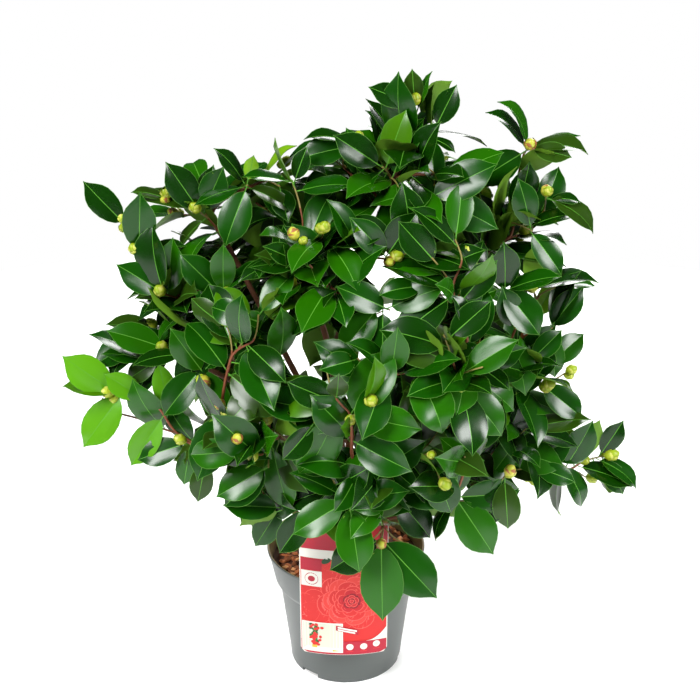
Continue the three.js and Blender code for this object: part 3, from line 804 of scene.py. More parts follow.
def choose_tips():
    """Shoot tips and the mass that each is at home in, those of the listed shoots first."""
    tips = list(hand_places)
    homes = [int(home_of(place)) for place in hand_places]
    for order, (centre, half) in enumerate(zip(mass_centre, mass_half)):
        outward = unit((centre - crown_middle) / crown_half)
        room = np.maximum(half - LEAF_ROOM, 0.25 * half)
        spacing = BACK_SPACING if centre[1] > BACK_FROM else TIP_SPACING
        for _ in range(TIP_TRIES):
            direction = unit(random.normal(size=3) + 0.5 * outward + (0, 0, 0.2))
            tip = centre + direction * room * random.uniform(0.45, 1.0)
            near = tips and np.linalg.norm(np.array(tips) - tip, axis=1).min() < spacing
            in_front = LEAF_NODES[order] in OPEN_NODES and tip[1] < centre[1] + 8 * MM
            if near or in_front or over_pot(tip)[0] or tip[2] < pot_high.z + LOWEST_TIP:
                continue
            tips.append(tip)
            homes.append(order)
    return np.array(tips), np.array(homes)


tips, tip_home = choose_tips()
print(len(tips), "shoot tips")

# %% [markdown]
# ## The branching rule
# The twigs could be drawn one by one, but a rule does it better: the next goal to be
# reached is always the one that costs least, where the cost is the way from the nearest
# wood plus a share of that wood's own distance from the stem. Short forks and long
# limbs come out in the balance that real wood has. Every twig starts on a limb or on
# an older twig, so nothing floats.

# %% Grow the wood from the limbs to the tips
WOOD_STEP = 11 * MM
LONG_WAY_SHARE = 0.35
BACKWARD_COST = 0.45  # what a twig pays for turning back on its wood
TWIG_SAG = 0.06
TWIG_WOBBLE = 0.8 * MM
BARE_SHARE = 0.55  # of every limb, from its foot, carries no twigs
BARE_HEIGHT = 60 * MM  # and nothing this near the pot's rim does
places, parents, ways, towards = [], [], [], []


def add_wood(place, parent, way, direction):
    """Note one piece of wood: where, on which piece, how far from the stem and which way."""
    places.append(place)
    parents.append(parent)
    ways.append(way)
    towards.append(direction)
    return len(places) - 1


def seed_limb(node):
    """The outer part of a limb is wood that twigs can start from."""
    line, _ = limbs[node]
    lengths = np.linalg.norm(np.diff(line, axis=0), axis=1)
    reach = np.linalg.norm(line[0] - np.array([0, 0, pot_high.z]))
    total = 0.0
    for k in range(1, len(line)):
        total += lengths[k - 1]
        if k >= BARE_SHARE * len(line) and line[k][2] > pot_high.z + BARE_HEIGHT:
            add_wood(line[k], -1, 0.6 * (reach + total), unit(line[k] - line[k - 1]))


for node in LIMB_NODES:
    if node != "stem":
        seed_limb(node)
limb_wood = len(places)

waiting = list(range(len(tips)))
tip_wood = {}
while waiting:
    wood = np.array(places)
    goals = tips[waiting]
    gap = goals[:, None, :] - wood[None, :, :]
    distance = np.linalg.norm(gap, axis=2)
    onward = np.einsum("gwk,wk->gw", gap, np.array(towards)) / np.maximum(distance, 1e-6)
    cost = distance * (1 + BACKWARD_COST * (1 - onward)) + LONG_WAY_SHARE * np.array(ways)
    goal, start = np.unravel_index(cost.argmin(), cost.shape)
    chosen = waiting.pop(goal)
    begin, end, old = places[start], tips[chosen], towards[start]
    span = np.linalg.norm(end - begin)
    bend = begin + old * span * 0.35 - np.array([0, 0, TWIG_SAG * span])
    steps = max(2, int(round(span / WOOD_STEP)))
    last = start
    for k in range(1, steps + 1):
        t = k / steps
        spot = (1 - t) ** 2 * begin + 2 * t * (1 - t) * bend + t * t * end
        spot = spot + random.normal(size=3) * TWIG_WOBBLE * (k < steps)
        heading = unit(spot - places[last])
        last = add_wood(spot, last, ways[start] + span * t, heading)
    tip_wood[chosen] = last
print(len(places), "pieces of wood, of which", limb_wood, "lie on the limbs")

# %% [markdown]
# ## From wood to twigs
# The wood is cut into runs: each tip's run goes back until it meets wood that another
# run has taken. A run's thickness follows the number of tips that it feeds, as sap
# pipes do. The tube round it has six sides, with a slight swelling at every leaf scar.

# %% Runs of wood and their thickness
TWIG_TIP_RADIUS, TWIG_MOST_RADIUS = 0.85 * MM, 2.9 * MM
PIPE_POWER = 0.42
feeds = np.zeros(len(places), int)
for last in tip_wood.values():
    k = last
    while k != -1:
        feeds[k] += 1
        k = parents[k]
wood_radius = TWIG_TIP_RADIUS * np.maximum(feeds, 1) ** PIPE_POWER
wood_radius = np.minimum(wood_radius, TWIG_MOST_RADIUS)

runs, taken = [], np.zeros(len(places), bool)
for chosen in sorted(tip_wood, key=lambda c: -ways[tip_wood[c]]):
    run, k = [], tip_wood[chosen]
    while k != -1:
        run.append(k)
        if taken[k]:
            break
        taken[k] = True
        k = parents[k]
    if len(run) > 1:
        runs.append(run[::-1])
print(len(runs), "runs of wood")


# %% A tube round a run
def frames_along(line):
    """At every point of a line, two directions square to it that do not twist."""
    ahead = unit(np.gradient(line, axis=0))
    side = np.zeros_like(line)
    first = np.cross(ahead[0], [0, 0, 1.0])
    if np.linalg.norm(first) < 0.1:
        first = np.cross(ahead[0], [1.0, 0, 0])
    side[0] = unit(first)
    for k in range(1, len(line)):
        kept = side[k - 1] - ahead[k] * (side[k - 1] @ ahead[k])
        side[k] = unit(kept)
    return side, np.cross(ahead, side)


END_SHARE = 0.04  # an end is drawn in to this share of its radius


def closed_tube(line, radius, sides):
    """A tube with both ends drawn in and closed. The radius is one per row, or one per corner."""
    radius = np.asarray(radius).reshape(len(line), -1)
    ahead, back = unit(line[-1] - line[-2]), unit(line[0] - line[1])
    line = np.vstack([line[0] + back * radius[0].mean() * 0.3, line,
                      line[-1] + ahead * radius[-1].mean() * 0.5])
    radius = np.vstack([radius[:1] * END_SHARE, radius, radius[-1:] * END_SHARE])
    side, up = frames_along(line)
    turn = np.arange(sides) * 2 * math.pi / sides
    ring = (np.cos(turn)[None, :, None] * side[:, None, :]
            + np.sin(turn)[None, :, None] * up[:, None, :])
    corners = (line[:, None, :] + ring * radius[:, :, None]).reshape(-1, 3)
    rows = np.arange(len(line) - 1)[:, None] * sides
    s = np.arange(sides)[None, :]
    n = (s + 1) % sides
    faces = np.stack([rows + s, rows + n, rows + sides + n, rows + sides + s], axis=2)
    s = np.arange(1, sides // 2)
    cap = np.stack([s - 1, s, sides - 1 - s, (sides - s) % sides], axis=1)
    return corners, np.vstack([faces.reshape(-1, 4), cap + (len(line) - 1) * sides, cap[:, ::-1]])


# %% Twigs, green where they are young
TWIG_SIDES = 6
SCAR_SWELL = 1.12
YOUNG_ROWS = 5  # at the end of a twig
twig_corners, twig_faces, twig_finish, twig_base = [], [], [], 0
for run in runs:
    line = np.array([places[k] for k in run])
    radius = wood_radius[run].copy()
    radius[0] = min(radius[0], radius[min(1, len(run) - 1)] * 1.25)
    fine, thick = [line[0]], [radius[0]]
    for k in range(1, len(line)):
        for t in (0.5, 1.0):
            fine.append(line[k - 1] * (1 - t) + line[k] * t)
            swell = SCAR_SWELL if t == 1.0 else 1.0
            thick.append((radius[k - 1] * (1 - t) + radius[k] * t) * swell)
    fine, thick = np.array(fine), np.array(thick)
    fine[1:-1] = (fine[:-2] + 2 * fine[1:-1] + fine[2:]) / 4
    corners, faces = closed_tube(fine, thick, TWIG_SIDES)
    twig_corners.append(corners)
    twig_faces.append(faces + twig_base)
    rows = faces.min(axis=1) // TWIG_SIDES
    twig_finish.append(np.where(rows > len(fine) - YOUNG_ROWS, 1, 0))
    twig_base += len(corners)
twigs = joined_mesh("twigs", np.vstack(twig_corners), np.vstack(twig_faces), [
    plain_finish("twig_brown", (116, 62, 34), 0.62),
    plain_finish("twig_young", (124, 112, 56), 0.5),
], np.concatenate(twig_finish))
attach(twigs, "root")
print("twigs", len(twigs.data.polygons), "faces")

# %% [markdown]
# ## Leaves along the shoots
# Camellia leaves stand singly, each turned about 137 degrees from the one below it,
# closest together at the shoot's end. A leaf leaves the twig on a short stalk, turns
# its glossy side to the light and hangs its tip. Each one gets a place, a heading, a
# facing and its own sizes here, and the mesh is made from that list afterwards.

# %% The list of leaves
LEAF_LENGTH = 66 * MM
LEAF_WIDTH_SHARE, LEAF_WIDTH_SPREAD = 0.55, 0.025  # of the leaf's length
LEAF_FOLD, LEAF_FOLD_SPREAD, LEAST_FOLD = 19, 6, 6  # degrees
STALK_LENGTH = 7 * MM
LEAF_SPACING = 8 * MM
CROWN_MARGIN, OPEN_MARGIN = 10 * MM, -4 * MM  # how far a tip may stand out of its mass
POT_FRONT, POT_CLEARANCE = -60 * MM, 100 * MM
LEAF_KEYS = ("root", "heading", "facing", "length", "width", "bend", "fold", "green", "home")
leaf = {key: [] for key in LEAF_KEYS}
leaf_marks = []  # two places on every leaf, to keep leaves from running through each other


def hangs_before_pot(point):
    """True in the open space between the front of the pot's rim and the leaves over it."""
    low = point[2] < pot_high.z + POT_CLEARANCE
    return low and point[1] < POT_FRONT and abs(point[0]) < pot_radius


def add_leaf(root, heading, facing, length, bend, green, home, spaced=True):
    """Note one leaf, unless it would cross the pot or another leaf, or leave the crown."""
    facing = unit(facing - heading * (facing @ heading))
    sag = math.sin(bend * 0.5)
    middle = root + heading * (STALK_LENGTH + length * 0.5) - facing * length * 0.04
    end = root + heading * (STALK_LENGTH + length * 0.8) - facing * length * 0.5 * sag
    point = root + heading * (STALK_LENGTH + length * 0.97) - facing * length * 0.8 * sag
    if over_pot(end)[0] or over_pot(middle)[0]:
        return
    if spaced:
        marks = np.array(leaf_marks)
        close = min(np.linalg.norm(marks - place, axis=1).min() for place in (middle, end))
        margin = OPEN_MARGIN if LEAF_NODES[home] in OPEN_NODES else CROWN_MARGIN
        if close < LEAF_SPACING or crown_share(point, margin) > 1 or hangs_before_pot(point):
            return
    leaf_marks.extend([middle, end])
    width = length * random.normal(LEAF_WIDTH_SHARE, LEAF_WIDTH_SPREAD)
    fold = math.radians(max(LEAST_FOLD, random.normal(LEAF_FOLD, LEAF_FOLD_SPREAD)))
    values = (root, heading, facing, length, width, bend, fold, green, home)
    for key, value in zip(LEAF_KEYS, values):
        leaf[key].append(value)


def back_along(k, distance):
    """The place and direction of the wood this far back from wood k."""
    while parents[k] != -1 and distance > 0:
        step = np.linalg.norm(places[k] - places[parents[k]])
        if distance <= step:
            return places[k] + (places[parents[k]] - places[k]) * distance / step, towards[k]
        distance -= step
        k = parents[k]
    return places[k], towards[k]


def outward_at(point):
    """The way from the middle of the crown out through this point."""
    return unit((point - crown_middle) / crown_half)


print("a leaf is", round(LEAF_LENGTH / MM), "mm long and at most stands", round(CROWN_MARGIN / MM),
      "mm out of its mass")

# %% Leaves of the listed shoots
DROOP_POWER = 1.5  # above 1, a leaf bends more towards its tip
STALK_RISE = math.radians(6)
HAND_GAP = 3.5  # millimetres of twig between two leaves
for chosen, (_, leaves) in enumerate(OUTLINE_SHOOTS):
    for order, (chord, size, bend, side, green) in enumerate(leaves):
        root, _ = back_along(tip_wood[chosen], (1 + HAND_GAP * order) * MM)
        chord = unit(np.array(chord))
        face = np.array(FACES[side]) + random.normal(size=3) * 0.08
        face = unit(face - chord * (face @ chord))
        rise = math.radians(bend) / (1 + DROOP_POWER) - STALK_RISE
        heading = chord * math.cos(rise) + face * math.sin(rise)
        facing = face * math.cos(rise) - chord * math.sin(rise)
        add_leaf(root, heading, facing, LEAF_LENGTH * size, math.radians(bend), green,
                 tip_home[chosen], spaced=False)
print(len(leaf["length"]), "leaves by hand")

# %% Leaves of all the other shoots
GOLDEN_TURN = math.radians(137.5)
LEAVES_PER_SHOOT = (5, 9)
LIGHT_SIDE = np.array([0, -0.3, 0.62])
FRESH_SHARE = 0.04  # of the shoots end in two young leaves
GREEN_SHARES = (0.3, 0.3, 0.2, 0.13, 0.07)  # deep, dark, mid, moss, light
SIZES = (0.72, 0.9, 1.0, 1.05)  # from a shoot's tip downwards
BEND, BEND_SPREAD, LEAST_BEND = 42, 15, 8  # degrees
for chosen in range(len(OUTLINE_SHOOTS), len(tips)):
    turn = random.uniform(0, 2 * math.pi)
    distance = 1.5 * MM
    fresh = random.random() < FRESH_SHARE
    for k in range(random.integers(*LEAVES_PER_SHOOT)):
        root, ahead = back_along(tip_wood[chosen], distance)
        distance += random.uniform(5, 9) * MM + 1.6 * MM * k
        outward = outward_at(root)
        axis = unit(ahead + 0.35 * outward)
        helper = unit(np.cross(axis, [0.3, 0.2, 1.0]))
        radial = math.cos(turn) * helper + math.sin(turn) * np.cross(axis, helper)
        turn += GOLDEN_TURN + random.normal() * 0.25
        spread = math.radians(34 + 9 * k + random.normal() * 8)
        heading = axis * math.cos(spread) + radial * math.sin(spread) + 0.3 * outward
        heading = unit(heading + (0, 0, -0.18))
        light = unit(LIGHT_SIDE + 0.62 * outward + random.normal(size=3) * 0.26)
        if np.linalg.norm(np.cross(light, heading)) < 0.25:
            light = light + radial * 0.4
        size = SIZES[min(k, len(SIZES) - 1)] * random.normal(1, 0.09)
        bend = math.radians(max(LEAST_BEND, random.normal(BEND, BEND_SPREAD)))
        green = YOUNG if fresh and k < 2 else random.choice(len(GREEN_SHARES), p=GREEN_SHARES)
        add_leaf(root, heading, light, LEAF_LENGTH * size, bend, green, tip_home[chosen])
leaf = {key: np.array(value) for key, value in leaf.items()}
print(len(leaf["length"]), "leaves")

# %% [markdown]
# ## One leaf, many leaves
# A leaf is a thin solid: an upper side in seven strips (pale margin, outer and inner
# blade, midrib and back again) over ten rows, and an underside in two strips. The half
# widths below are the outline of an oval leaf with a drawn-out tip. The blade is folded
# along its midrib, its halves roll over towards the margin, and the whole leaf bends
# down along its length.

# %% Corners of the leaves in the list
ROW_AT = np.array([0.0, 0.06, 0.15, 0.27, 0.40, 0.53, 0.66, 0.78, 0.88, 0.95, 1.0])
ROW_HALF_WIDTH = np.array([0.06, 0.42, 0.73, 0.94, 1.0, 0.96, 0.8, 0.55, 0.28, 0.1, 0.01])
ROW_RELIEF = np.array([0, 1, -1, 1, -1, 1, -1, 1, -1, 0, 0]) * 0.22 * MM
VEIN_SLANT = 0.09
MARGIN_WIDTH = 0.4 * MM
RIB_HALF_WIDTH = 0.5 * MM
LEAF_THICKNESS = 0.45 * MM
RIB_SINK = 0.2 * MM
ROLL = 0.13  # how far the halves roll over, as a share of the width
WAVE, WAVES = 0.7 * MM, 9
STALK_THICKNESS = 0.8 * MM
STALK_SINK = 0.35 * MM


def leaf_corners(picks):
    """Corners of the picked leaves: (leaf, corner, 3), in the order of LEAF_FACES."""
    count = len(picks)
    root, heading, facing = (leaf[key][picks] for key in ("root", "heading", "facing"))
    side = np.cross(heading, facing)
    length = leaf["length"][picks][:, None]
    width = leaf["width"][picks][:, None, None]
    half = leaf["width"][picks][:, None] / 2 * ROW_HALF_WIDTH[None, :]
    droop = leaf["bend"][picks][:, None] * (ROW_AT[None, :] ** DROOP_POWER) - STALK_RISE
    steps = np.diff(ROW_AT)[None, :] * length
    middle = (droop[:, 1:] + droop[:, :-1]) / 2
    start = np.zeros((count, 1))
    ahead = np.hstack([start, np.cumsum(steps * np.cos(middle), axis=1)])
    lift = np.hstack([start, np.cumsum(-steps * np.sin(middle), axis=1)])
    rib = np.minimum(RIB_HALF_WIDTH * (1.15 - ROW_AT[None, :] * 0.8), half * 0.5)
    margin = np.minimum(MARGIN_WIDTH, half * 0.3)
    inner = (rib + half - margin) * 0.5
    across = np.stack([-half, -half + margin, -inner, -rib,
                       rib, inner, half - margin, half], axis=2)
    share = np.abs(across) / np.maximum(width / 2, 1e-6)
    fold = np.tan(leaf["fold"][picks])[:, None, None]
    wave = np.sin(ROW_AT[None, :, None] * WAVES + length[:, :, None] * 4000)
    wave = wave * np.sign(across) * WAVE * share**2
    height = np.abs(across) * fold - share**2 * width * ROLL + wave
    height += ROW_RELIEF[None, :, None] * 4 * share * (1 - share)
    height[:, :, 3:5] -= RIB_SINK
    under = height[:, :, 3:4] - LEAF_THICKNESS
    local_x = np.concatenate([across, np.zeros_like(under)], axis=2)
    local_z = np.concatenate([height, under], axis=2)
    # side veins run forward from the midrib, and a row's own up leans with the droop
    share = np.concatenate([share, np.zeros_like(under)], axis=2)
    slant = VEIN_SLANT * length[:, :, None] * share * (ROW_AT * (1 - ROW_AT) * 4)[None, :, None]
    place_ahead = ahead[:, :, None] + slant + local_z * np.sin(droop)[:, :, None]
    place_up = lift[:, :, None] + local_z * np.cos(droop)[:, :, None]
    blade = (root + heading * STALK_LENGTH)[:, None, None, :]
    for reach, way in ((place_ahead, heading), (place_up, facing), (local_x, side)):
        blade = blade + reach[..., None] * way[:, None, None, :]
    # the stalk is a thin four-sided stick from the twig to the foot of the midrib
    stalk = []
    for along, scale in ((-1 * MM, 1.1), (STALK_LENGTH + 2 * MM, 0.75)):
        for x, z in ((-1, 0), (0, -1), (1, 0), (0, 1)):
            stalk.append(root + heading * along + side * x * STALK_THICKNESS * scale
                         + facing * (z * STALK_THICKNESS * scale - STALK_SINK))
    return np.concatenate([blade.reshape(count, -1, 3), np.stack(stalk, axis=1)], axis=1)


print(len(ROW_AT) - 1, "rows to a leaf")

# %% Faces of one leaf
COLUMNS = 8
STRIP_KIND = (2, 0, 0, 1, 0, 0, 2)  # 0 blade, 1 midrib, 2 margin


def leaf_pattern():
    """Faces, kinds and sharp corners of one leaf. Kind 3 is the underside."""
    faces, kinds = [], []
    row = COLUMNS + 1  # the last corner of a row is the one under the midrib
    rows = len(ROW_AT)
    for r in range(rows - 1):
        near, far = r * row, (r + 1) * row
        for c in range(COLUMNS - 1):
            faces.append((near + c, near + c + 1, far + c + 1, far + c))
            kinds.append(STRIP_KIND[c])
        faces.append((near + COLUMNS, near, far, far + COLUMNS))
        faces.append((near + COLUMNS - 1, near + COLUMNS, far + COLUMNS, far + COLUMNS - 1))
        kinds += [3, 3]
    stalk = rows * row
    for s in range(4):
        n = (s + 1) % 4
        faces.append((stalk + s, stalk + 4 + s, stalk + 4 + n, stalk + n))
        kinds.append(1)
    faces.append(tuple(stalk + k for k in (0, 1, 2, 3)))
    faces.append(tuple(stalk + k for k in (7, 6, 5, 4)))
    kinds += [1, 1]
    sharp = np.zeros(stalk + 8, bool)
    for r in range(rows):
        sharp[r * row] = sharp[r * row + COLUMNS - 1] = True
    return np.array(faces), np.array(kinds), sharp


LEAF_FACES, LEAF_KINDS, LEAF_SHARP = leaf_pattern()
print(len(LEAF_FACES), "faces to a leaf")

# %% [markdown]
# ## Greens of the leaves
# Old leaves are a deep, glossy green, and the spray low on the left is fresh and pale.
# Every leaf takes one of seven greens, its midrib and margin are paler than all of
# them, and its underside is dull and yellow green, partly its own paler colour and partly
# painted light that shines through the leaf. The masses are dressed side by side, so
# that no piece grows too heavy.

# %% Finishes of a leaf
LEAF_SHINE, RIB_SHINE = 0.36, 0.3
LEAF_GREENS = [plain_finish("leaf_green_" + name, colour, roughness, LEAF_SHINE)
               for name, colour, roughness in (
                   ("deep", (8, 46, 0), 0.24), ("dark", (12, 62, 0), 0.25),
                   ("mid", (26, 82, 0), 0.26), ("moss", (34, 62, 6), 0.28),
                   ("light", (58, 106, 2), 0.28), ("spring", (78, 140, 12), 0.28),
                   ("young", (104, 150, 16), 0.3))]
LEAF_FINISHES = LEAF_GREENS + [
    plain_finish("leaf_midrib", (78, 138, 40), 0.42, RIB_SHINE),
    plain_finish("leaf_margin", (74, 122, 42), 0.45, RIB_SHINE),
    # the underside's yellow green is partly its own paler colour and partly painted light, the glow
    # of light shining through the leaf
    plain_finish("leaf_underside_and_painted_backlight", (90, 130, 28), 0.55, RIB_SHINE),
]
print(len(LEAF_FINISHES), "finishes for the leaves")


# %% Foliage, a piece for every side of the crown
def make_leaves(name, picks):
    """All the picked leaves as one mesh."""
    corners = leaf_corners(picks)
    per_leaf = corners.shape[1]
    faces = LEAF_FACES[None, :, :] + (np.arange(len(picks)) * per_leaf)[:, None, None]
    finish = np.tile(LEAF_KINDS + len(LEAF_GREENS) - 1, (len(picks), 1))
    finish = np.where(LEAF_KINDS[None, :] == 0, leaf["green"][picks][:, None], finish)
    return joined_mesh(name, corners.reshape(-1, 3), faces.reshape(-1, 4), LEAF_FINISHES,
                       finish.ravel(), np.tile(LEAF_SHARP, len(picks)))


def side_of_crown(node):
    """The side of the crown that a mass belongs to."""
    for side in ("left", "right", "front", "back"):
        if node.startswith("leaves_" + side):
            return side
    return "top"


node_side = np.array([side_of_crown(node) for node in LEAF_NODES])
for side in sorted(set(node_side)):
    picks = np.flatnonzero(node_side[leaf["home"]] == side)
    piece = make_leaves("foliage_" + side, picks)
    fix_on_root(piece, "foliage", *[n for n in LEAF_NODES if side_of_crown(n) == side])

# %% [markdown]
# ## Buds
# Flower buds sit at the ends of shoots and in the leaf angles near them. Each is a plump
# oval of yellow green with five scales that overlap like roof tiles. A share of them,
# dealt at random, are riper, and their scales have brown edges.

# %% Mesh of one bud
BUD_LENGTH = 2.5  # in half widths
BUD_RINGS = np.array([0.0, 0.16, 0.42, 0.7, 0.9, 1.0])
BUD_GIRTH = np.array([0.25, 0.72, 1.0, 0.86, 0.5, 0.05])
BUD_SIDES = 8
SCALES = (  # turn round the bud in radians, top, and 1 for an inner one
    (0.0, 0.62, 0), (2.3, 0.68, 0), (4.4, 0.76, 0), (1.1, 0.9, 1), (3.4, 0.94, 1))
SCALE_ROWS = ((0.0, 1.25), (0.35, 1.2), (0.75, 0.8), (1.0, 0.12))  # height and half width
SCALE_COLUMNS = (-1, -0.33, 0.33, 1)


def bud_pattern():
    """A core and its scales in unit size, standing on the origin along +Z."""
    turn = np.arange(BUD_SIDES) * 2 * math.pi / BUD_SIDES
    core = np.stack([BUD_GIRTH[:, None] * np.cos(turn), BUD_GIRTH[:, None] * np.sin(turn),
                     BUD_RINGS[:, None] * BUD_LENGTH + 0 * turn], axis=2).reshape(-1, 3)
    around = np.arange(BUD_SIDES)
    after = (around + 1) % BUD_SIDES
    faces = [np.stack([near + around, near + after, near + BUD_SIDES + after,
                       near + BUD_SIDES + around], axis=1)
             for near in range(0, len(core) - BUD_SIDES, BUD_SIDES)]
    s = np.arange(1, BUD_SIDES // 2)
    cap = np.stack([s - 1, s, BUD_SIDES - 1 - s, (BUD_SIDES - s) % BUD_SIDES], axis=1)
    faces += [cap[:, ::-1], cap + len(core) - BUD_SIDES]
    kinds = [0] * sum(len(f) for f in faces)
    corners = []
    for middle, top, inner in SCALES:
        faces.append(grid_faces(len(SCALE_ROWS), len(SCALE_COLUMNS)) + len(core) + len(corners))
        kinds += [1] * 6 + [2] * 3
        for row, wide in SCALE_ROWS:
            height = row * top
            girth = np.interp(height, BUD_RINGS, BUD_GIRTH) * 1.04 + 0.05 + 0.05 * row
            girth += 0.02 * (1 - inner)
            for side in SCALE_COLUMNS:
                angle = middle + side * wide
                swell = girth * (1 - 0.05 * side * side)
                corners.append([swell * math.cos(angle), swell * math.sin(angle),
                                height * BUD_LENGTH + 0.03])
    return np.vstack([core, corners]), np.vstack(faces), np.array(kinds)


BUD_CORNERS, BUD_FACES, BUD_KINDS = bud_pattern()
print(len(BUD_FACES), "faces to a bud")

# %% Buds at the shoot tips
BUD_SHARE, HAND_BUD_SHARE, TWIN_SHARE, RIPE_SHARE = 0.33, 0.6, 0.3, 0.2
BUD_SIZE, BUD_SPREAD = 6.3, 0.7  # half widths in millimetres
TWIN_SIZE, TWIN_SPREAD = 5.2, 0.6
bud_root, bud_axis, bud_size, bud_ripe = [], [], [], []


def add_bud(root, axis, size):
    """Note one bud, and whether it is ripe."""
    bud_root.append(root)
    bud_axis.append(axis)
    bud_size.append(size)
    bud_ripe.append(random.random() < RIPE_SHARE)


for chosen in range(len(tips)):
    if random.random() > (HAND_BUD_SHARE if chosen < len(OUTLINE_SHOOTS) else BUD_SHARE):
        continue
    end, ahead = places[tip_wood[chosen]], towards[tip_wood[chosen]]
    outward = outward_at(end)
    axis = unit(ahead + 0.5 * outward + np.array([0, -0.1, 0.35]) + random.normal(size=3) * 0.15)
    add_bud(end + axis * 1.5 * MM, axis, random.normal(BUD_SIZE, BUD_SPREAD) * MM)
    if random.random() < TWIN_SHARE:
        side = unit(np.cross(axis, outward) + random.normal(size=3) * 0.3)
        lean = unit(axis + 1.1 * side)
        add_bud(end + lean * 3 * MM - ahead * 4 * MM, lean,
                random.normal(TWIN_SIZE, TWIN_SPREAD) * MM)
bud_root, bud_axis, bud_ripe = np.array(bud_root), np.array(bud_axis), np.array(bud_ripe)
across = unit(np.cross(bud_axis, [0.2, 0.1, 1.0]))
over = np.cross(bud_axis, across)
grown = BUD_CORNERS[None] * np.array(bud_size)[:, None, None]
bud_corners = (bud_root[:, None] + grown[..., :1] * across[:, None]
               + grown[..., 1:2] * over[:, None] + grown[..., 2:] * bud_axis[:, None])
bud_faces = BUD_FACES[None] + (np.arange(len(bud_root)) * len(BUD_CORNERS))[:, None, None]
bud_finish = np.tile(BUD_KINDS, (len(bud_root), 1))
bud_finish = np.where(bud_ripe[:, None], bud_finish + 3, bud_finish)
buds = joined_mesh("buds", bud_corners, bud_faces, [
    plain_finish("bud_green", (138, 158, 24), 0.42),
    plain_finish("bud_scale", (160, 176, 36), 0.42),
    plain_finish("bud_scale_tip", (184, 188, 82), 0.45),
    plain_finish("bud_ripe_green", (172, 176, 56), 0.42),
    plain_finish("bud_ripe_scale", (188, 184, 60), 0.42),
    plain_finish("bud_ripe_tip", (150, 94, 50), 0.55),
], bud_finish.ravel())
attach(buds, "root")
print(len(bud_root), "buds,", len(buds.data.polygons), "faces")

# %% [markdown]
# ## Bark on the limbs
# Young camellia bark is thin and reddish brown, with fine lengthwise cracks and rings
# where leaves have dropped. A tube of many sides follows each limb, and its radius is
# pushed in and out by those cracks and rings, so that the relief is in the mesh.

# %% Limbs with bark
BARK_SIDES = 16
BARK_STEP = 3 * MM
SMOOTHINGS = 6
CRACK_RELIEF, RING_RELIEF = 0.035, 0.1  # as shares of the radius
RING_EVERY, RING_WIDTH = 24 * MM, 2.2 * MM
bark_corners, bark_faces, bark_base = [], [], 0
for order, node in enumerate(LIMB_NODES):
    line, radius = limbs[node]
    gaps = np.linalg.norm(np.diff(line, axis=0), axis=1)
    lengths = np.concatenate([[0], np.cumsum(gaps)])
    steps = int(lengths[-1] / BARK_STEP) + 2
    at = np.linspace(0, lengths[-1], steps)
    fine = np.stack([np.interp(at, lengths, line[:, k]) for k in range(3)], axis=1)
    for _ in range(SMOOTHINGS):
        fine[1:-1] = (fine[:-2] + 2 * fine[1:-1] + fine[2:]) / 4
    thick = np.interp(at, lengths, radius)
    turn = np.arange(BARK_SIDES)[None, :] * 2 * math.pi / BARK_SIDES
    crack = np.sin(turn * 5 + at[:, None] * 90 + order) + np.sin(turn * 8 - at[:, None] * 140)
    from_ring = (at + order * 7 * MM) % RING_EVERY - RING_EVERY / 2
    ring = np.exp(-(from_ring / RING_WIDTH) ** 2)
    relief = 1 + CRACK_RELIEF * crack + RING_RELIEF * ring[:, None]
    corners, faces = closed_tube(fine, thick[:, None] * relief, BARK_SIDES)
    bark_corners.append(corners)
    bark_faces.append(faces + bark_base)
    bark_base += len(corners)
bark = joined_mesh("bark_limbs", np.vstack(bark_corners), np.vstack(bark_faces),
                   [plain_finish("bark", (100, 58, 36), 0.75)])
fix_on_root(bark, "bark", *LIMB_NODES)

# %% [markdown]
# ## Floor and light
# A round pale floor and large soft lights, as in a plant nursery's studio: one on each
# side in front, one behind and a weak even sky. The floor glows a little, so that it
# stays white to its edge. What lies beyond it is white too, but only to the camera, so
# that the shade between the leaves stays deep.

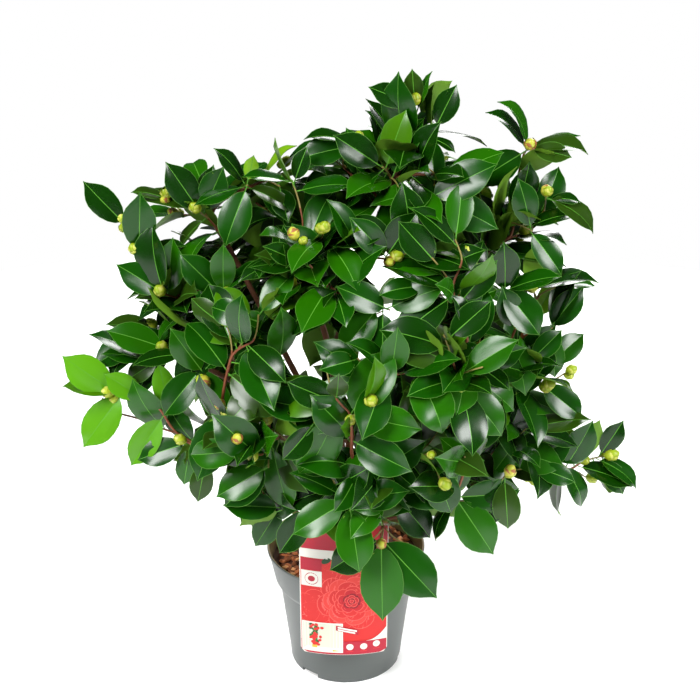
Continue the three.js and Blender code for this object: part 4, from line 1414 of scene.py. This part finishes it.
# %% Floor
FLOOR_RADIUS, FLOOR_GLOW = 1.7, 0.1
WHITE = (1, 1, 1, 1)
bpy.ops.mesh.primitive_circle_add(vertices=96, radius=FLOOR_RADIUS, fill_type="NGON")
floor = bpy.context.object
floor.name = "floor"
floor_white = plain_finish("floor_white", (250, 250, 250), 0.9)
floor_shader = floor_white.node_tree.nodes["Principled BSDF"]
floor_shader.inputs["Emission Color"].default_value = WHITE
floor_shader.inputs["Emission Strength"].default_value = FLOOR_GLOW
floor.data.materials.append(floor_white)
print("floor", 2 * FLOOR_RADIUS, "m across")

# %% What lies beyond the floor
FILL_STRENGTH, WALL_STRENGTH = 0.04, 1.0
world = bpy.data.worlds.new("world")
bpy.context.scene.world = world
world.use_nodes = True
nodes, links = world.node_tree.nodes, world.node_tree.links
fill_light = nodes["Background"]
fill_light.inputs["Color"].default_value = WHITE
fill_light.inputs["Strength"].default_value = FILL_STRENGTH
pale_wall = nodes.new("ShaderNodeBackground")
pale_wall.inputs["Color"].default_value = WHITE
pale_wall.inputs["Strength"].default_value = WALL_STRENGTH
ray, mix = nodes.new("ShaderNodeLightPath"), nodes.new("ShaderNodeMixShader")
links.new(ray.outputs["Is Camera Ray"], mix.inputs["Fac"])
links.new(fill_light.outputs["Background"], mix.inputs[1])
links.new(pale_wall.outputs["Background"], mix.inputs[2])
links.new(mix.outputs["Shader"], nodes["World Output"].inputs["Surface"])
print("beyond the floor", WALL_STRENGTH, "to the camera and", FILL_STRENGTH, "to the rest")

# %% Lights
CROWN_AT = Vector((0, 0, 0.35))


def softbox(name, place, size, power):
    """A square of soft light that is turned to the crown. Metres and watts."""
    data = bpy.data.lights.new(name, "AREA")
    data.shape = "RECTANGLE"
    data.size, data.size_y = size
    data.energy = power
    light = bpy.data.objects.new(name, data)
    light.location = place
    light.rotation_euler = (CROWN_AT - Vector(place)).to_track_quat("-Z", "Y").to_euler()
    bpy.context.scene.collection.objects.link(light)


softbox("key_left", (-1.5, -1.5, 1.9), (0.9, 0.9), 74)
softbox("key_right", (1.8, -1.2, 1.4), (0.7, 1.0), 56)
softbox("back_soft", (0.5, 2.1, 1.5), (1.4, 1.0), 54)
sky_data = bpy.data.lights.new("sky_soft", "SUN")
sky_data.energy = 1.9
sky_data.angle = math.radians(16)
sky_light = bpy.data.objects.new("sky_soft", sky_data)
sky_light.rotation_euler = (math.radians(24), math.radians(-16), 0)
sky_light.visible_glossy = False
bpy.context.scene.collection.objects.link(sky_light)
bpy.context.scene.view_settings.view_transform = "Standard"
print(len(bpy.data.lights), "lights")
